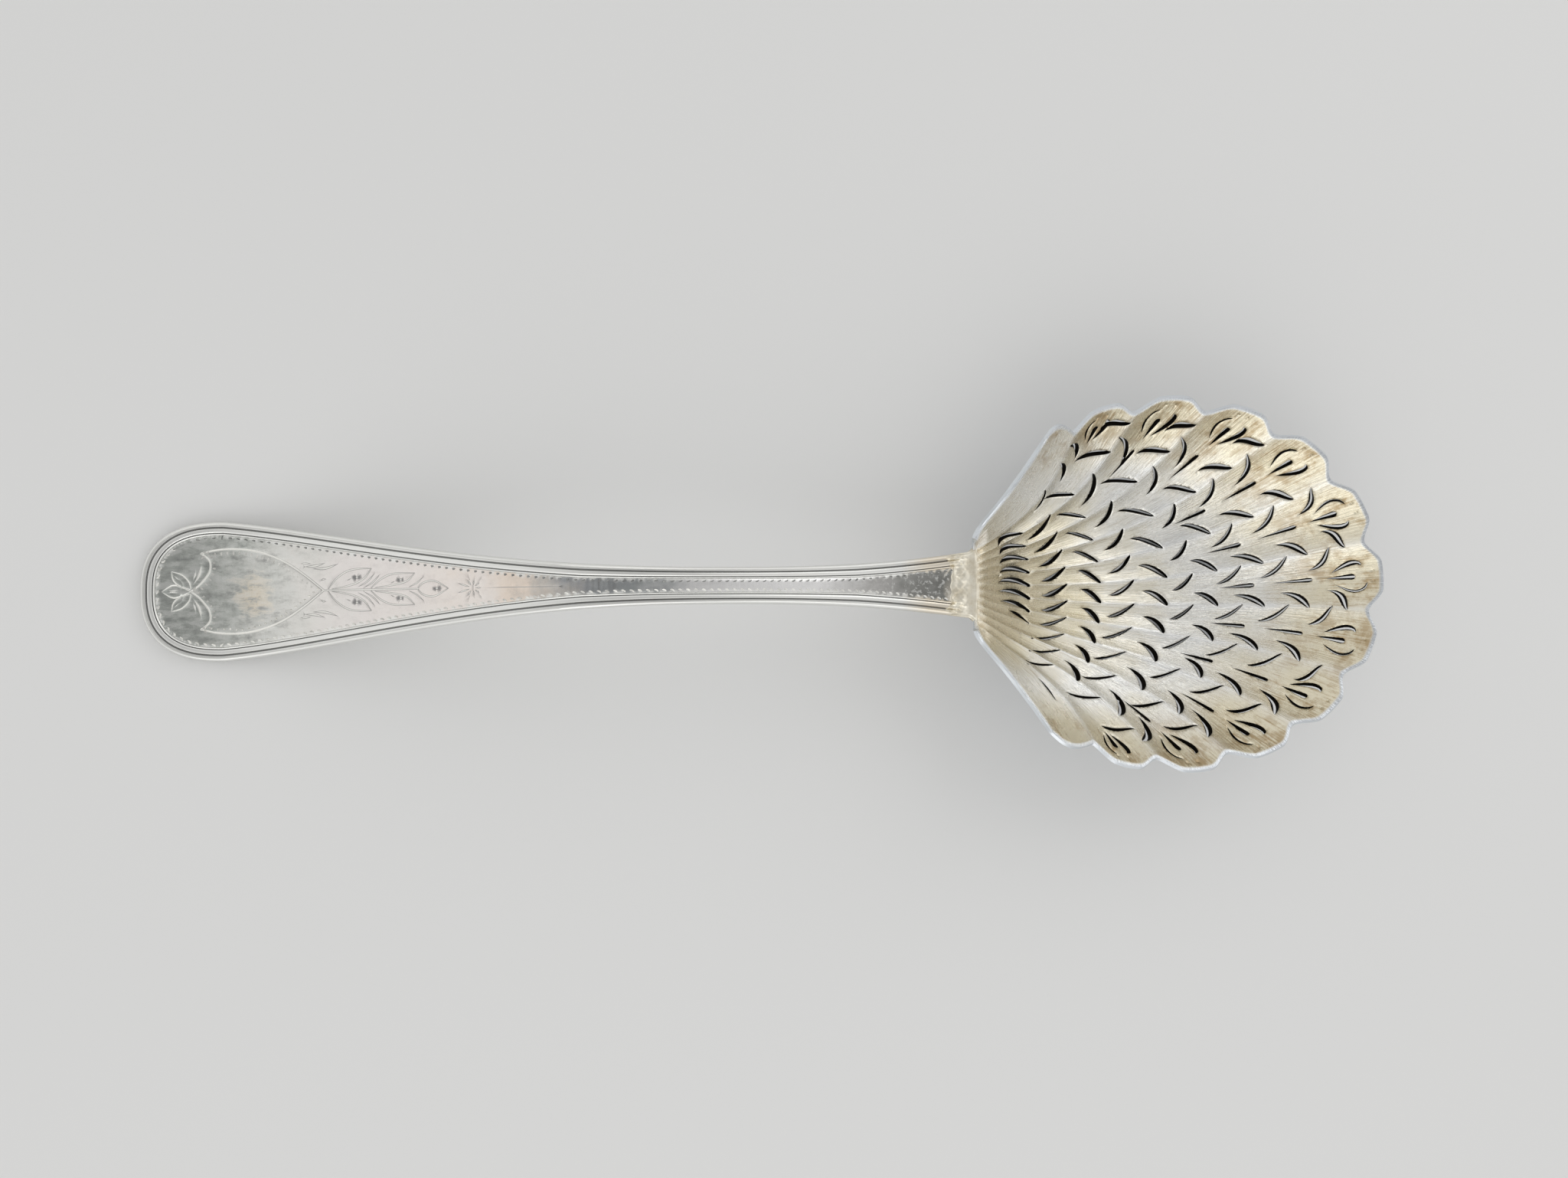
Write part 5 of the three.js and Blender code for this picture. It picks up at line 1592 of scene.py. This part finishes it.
class SPOON_OT_solder(bpy.types.Operator):
    """Floods the neck joint with solder and fills the corner under it"""

    bl_idname = "spoon.solder"
    bl_label = "Solder"

    def execute(self, context):
        settings = context.scene.spoon_solder
        metal = solder_material(settings)
        handle = context.scene.spoon_handle
        sizes = {"border": handle.border, "reed": handle.reed, "lump": settings.lump}
        neck = ("neck_joint", neck_skin(sizes), "neck_solder", 60)
        heel = ("heel_fillet", heel_fillet(), "heel_solder", 50)
        for name, (points, faces), node, sharp in (neck, heel):
            obj = mesh_object(name, points, faces)
            obj.data.materials.append(metal)
            finish_piece(obj, "solder", node, sharp=sharp)
        return {"FINISHED"}


def ripple(x, y, seed):
    """A smooth uneven value, mostly between -1 and 1."""
    chance = np.random.default_rng(int(seed * 10))
    value = 0
    for turn, pace, phase in chance.uniform((0, 1.5, 0), (np.pi, 5.5, 6.3), (11, 3)):
        value = value + np.sin(pace * (x * np.cos(turn) + y * np.sin(turn)) + phase)
    return value / 5


def ring_faces(ids):
    """Faces between each closed ring of points and the next."""
    faces = []
    for here, there in zip(ids[:-1], ids[1:]):
        faces += np.stack([here, there, np.roll(there, -1), np.roll(here, -1)], -1).tolist()
    return faces


def neck_skin(settings):
    """The solder flooded over the tab: a closed skin, from the panel's end to past the fold."""
    border, reed, lump = (value / MM for value in (settings["border"], settings["reed"], settings["lump"]))
    ruler = SheetRuler(bpy.context.scene.spoon_shell)
    floor = NOTCH_Z - SHEET - SOLDER_FILM - 0.05
    shares = [0.0] + [share for share, _, _ in BORDER]
    heights = [0.0] + [up - 0.5 * down for _, up, down in BORDER]
    across = np.sin(np.linspace(-1, 1, NECK_COLUMNS) * np.pi / 2)
    rows = []
    for way in np.linspace(0, 1, NECK_ROWS):
        back = PANEL_END_X - NECK_LAP + 0.35 * ripple(0 * across, 4 * across, 0.4)
        back = back - 0.9 * smoothstep(np.abs(across), 0.6, 1.0)
        front = FOLD_X + NECK_OVER * (1 - across**2) + 0.1 * ripple(5 * across, 0 * across, 2.2)
        x = back + (front - back) * way
        half = handle_half(np.minimum(x, FOLD_X)) - 0.04
        half = half + SHOULDER_FILLET * smoothstep(x, FOLD_X - SHOULDER_START, FOLD_X) ** 2
        y = across * half
        width = np.minimum(border, BORDER_SHARE * half)
        inward = (half - np.abs(y)) / width
        ridge = np.interp(inward, shares, heights, right=0.0) * reed * (1 - smoothstep(way, 0.1, 0.8))
        uneven = lump * ripple(x, 1.2 * y, 1.3) + 0.5 * lump * ripple(2.6 * x, 2.8 * y, 4.2)
        uneven = (uneven + lump) * smoothstep(way, 0.02, 0.12) * (1 - 0.85 * smoothstep(way, 0.4, 0.75))
        sunk = ruler.height_near_fold(x, y)
        top = panel_height(np.minimum(x, FOLD_X)) + sunk + 0.05 + ridge + uneven
        top = top - 0.16 * (1 - smoothstep(way, 0.0, 0.06)) - 0.12 * smoothstep(way, 0.9, 1.0)
        top = top - 0.5 * smoothstep(np.abs(across), 0.9, 1.0)
        upper = np.stack([x, y, top], -1)
        under = np.where(x > FOLD_X - NECK_FREE, top - NECK_FREE, floor)
        rows.append(np.concatenate([upper, np.stack([x, y, under], -1)[::-1]]))
    rows = np.stack(rows)
    count, around = rows.shape[:2]
    ids = np.arange(count * around).reshape(count, around)
    faces = ring_faces(ids)
    half_way = around // 2
    for k, turned in ((0, False), (count - 1, True)):
        for j in range(half_way - 1):
            face = [ids[k, j], ids[k, j + 1], ids[k, around - 2 - j], ids[k, around - 1 - j]]
            faces.append(face[::-1] if turned else face)
    return rows.reshape(-1, 3), faces


def heel_fillet():
    """The fillet between the tongue's end and the heel, hollow in front and rounded off at its sides."""
    low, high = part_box("heel_solder")
    back, front = low.x / MM - TIP, high.x / MM - TIP
    bottom, top = low.z / MM, high.z / MM
    half = high.y / MM
    points = []
    for side in np.linspace(-1, 1, FILLET_RINGS):
        fade = (1 - abs(side) ** 4) ** 0.5
        y = half * side
        deep = top - (top - bottom) * (0.25 + 0.75 * fade)
        reach = back + (front - back) * (0.3 + 0.7 * fade)
        for t in np.linspace(0, 1, FILLET_STEPS):
            curve = 1 - (1 - t) ** 1.7
            points.append((back + (reach - back) * (0.35 + 0.65 * curve), y, deep + (top - deep) * t))
        points.append((back, y, top))
        points.append((back, y, deep))
    ids = np.arange(len(points)).reshape(FILLET_RINGS, -1)
    return np.array(points), [ids[0].tolist(), ids[-1, ::-1].tolist()] + ring_faces(ids)


# The studio's light by height over the horizon, 1 being straight above, and how much brighter its -Y side is
SKY_TONES = ((0.0, 0.9), (0.35, 1.12), (0.68, 1.08), (0.82, 0.82), (0.93, 0.6), (1.0, 0.56))
SKY_SLANT = 0.04

# Places and sizes in metres, turns in degrees
FLOOR_REACH = 3.0
LAMPS_AIM = (0.02, 0, 0.01)
KEY_PLACE = (-0.10, -0.55, 0.40)
KEY_SIZE = 0.6
FILL_PLACE = (0.45, 0.35, 0.40)
FILL_SIZE = 0.5
CAMERA_PLACE = (-0.044413, -0.004551, 0.202684)
CAMERA_TURN = (1.3551, -11.8876, -0.6357)
CAMERA_LENS = 27.07


class SPOON_OT_stage(bpy.types.Operator):
    """Lays the pale floor and sets the soft lights and the camera"""

    bl_idname = "spoon.stage"
    bl_label = "Stage"

    def execute(self, context):
        settings = context.scene.spoon_stage
        mesh = bpy.data.meshes.new("floor")
        corners = [(x * FLOOR_REACH, y * FLOOR_REACH, 0) for x, y in ((-1, -1), (1, -1), (1, 1), (-1, 1))]
        mesh.from_pydata(corners, [], [(0, 1, 2, 3)])
        floor = bpy.data.objects.new("floor", mesh)
        context.scene.collection.objects.link(floor)
        paint = bpy.data.materials.new("floor paper")
        paint.use_nodes = True
        shader = paint.node_tree.nodes["Principled BSDF"]
        shader.inputs["Base Color"].default_value = (*settings.floor, 1)
        shader.inputs["Roughness"].default_value = 0.9
        mesh.materials.append(paint)
        self.lamp("key", KEY_PLACE, KEY_SIZE, settings.key_power)
        self.lamp("fill", FILL_PLACE, FILL_SIZE, settings.fill_power)
        self.sky(context, settings)
        self.camera(context)
        context.scene.view_settings.view_transform = "Standard"
        return {"FINISHED"}

    def lamp(self, name, place, size, watts):
        """A soft round lamp that shines on the spoon."""
        light = bpy.data.lights.new(name, "AREA")
        light.shape = "DISK"
        light.size = size
        light.energy = watts
        lamp = bpy.data.objects.new(name, light)
        lamp.location = place
        lamp.rotation_euler = (Vector(LAMPS_AIM) - Vector(place)).to_track_quat("-Z", "Y").to_euler()
        bpy.context.scene.collection.objects.link(lamp)

    def sky(self, context, settings):
        """Studio light from all round: dimmer straight above, with a pale band, brighter on one side."""
        world = bpy.data.worlds.new("studio")
        world.use_nodes = True
        tree = world.node_tree
        back = tree.nodes["Background"].inputs
        place = new_node(tree, "ShaderNodeTexCoord").outputs["Generated"]
        parts = new_node(tree, "ShaderNodeSeparateXYZ", {"Vector": place}).outputs
        level = ramp(tree, parts["Z"], [(height, (level,) * 3) for height, level in SKY_TONES])
        side = Field(tree, parts["Y"]) * -SKY_SLANT + 1.0
        strength = Field(tree, level) * side * settings.world
        back["Color"].default_value = (1, 1, 1, 1)
        tree.links.new(strength.socket, back["Strength"])
        context.scene.world = world

    def camera(self, context):
        """A camera close above the spoon's middle, as in the photograph."""
        data = bpy.data.cameras.new("camera")
        data.sensor_width = 36.0
        data.lens = CAMERA_LENS
        data.clip_start = 0.01
        camera = bpy.data.objects.new("camera", data)
        camera.location = CAMERA_PLACE
        camera.rotation_euler = [math.radians(angle) for angle in CAMERA_TURN]
        context.scene.collection.objects.link(camera)
        context.scene.camera = camera


class SPOON_PT_panel(bpy.types.Panel):
    """Sidebar with the spoon's sizes, colours and steps"""

    bl_idname = "SPOON_PT_panel"
    bl_label = "Sifter spoon"
    bl_space_type = "VIEW_3D"
    bl_region_type = "UI"
    bl_category = "Spoon"

    def draw(self, context):
        scene = context.scene
        for settings in (scene.spoon_shell, scene.spoon_handle, scene.spoon_solder, scene.spoon_stage):
            box = self.layout.box()
            for name in settings.__annotations__:
                box.prop(settings, name)
        for step in STEPS:
            self.layout.operator(step.bl_idname)


STEPS = (SPOON_OT_stage, SPOON_OT_shell_bowl, SPOON_OT_handle, SPOON_OT_bright_cuts, SPOON_OT_solder)
SETTINGS = (
    ("spoon_shell", SpoonShellSettings),
    ("spoon_handle", SpoonHandleSettings),
    ("spoon_solder", SpoonSolderSettings),
    ("spoon_stage", SpoonStageSettings),
)


def register():
    """Makes the settings, operators and panel known to Blender."""
    for name, group in SETTINGS:
        bpy.utils.register_class(group)
        setattr(bpy.types.Scene, name, PointerProperty(type=group))
    for made in (*STEPS, SPOON_PT_panel):
        bpy.utils.register_class(made)


def unregister():
    """Takes them out again."""
    for made in reversed((*STEPS, SPOON_PT_panel)):
        bpy.utils.unregister_class(made)
    for name, group in reversed(SETTINGS):
        delattr(bpy.types.Scene, name)
        bpy.utils.unregister_class(group)


def main():
    """Builds the whole scene."""
    register()
    bpy.ops.spoon.stage()
    bpy.ops.spoon.shell_bowl()
    bpy.ops.spoon.handle()
    bpy.ops.spoon.bright_cuts()
    bpy.ops.spoon.solder()


if __name__ == "__main__":
    main()
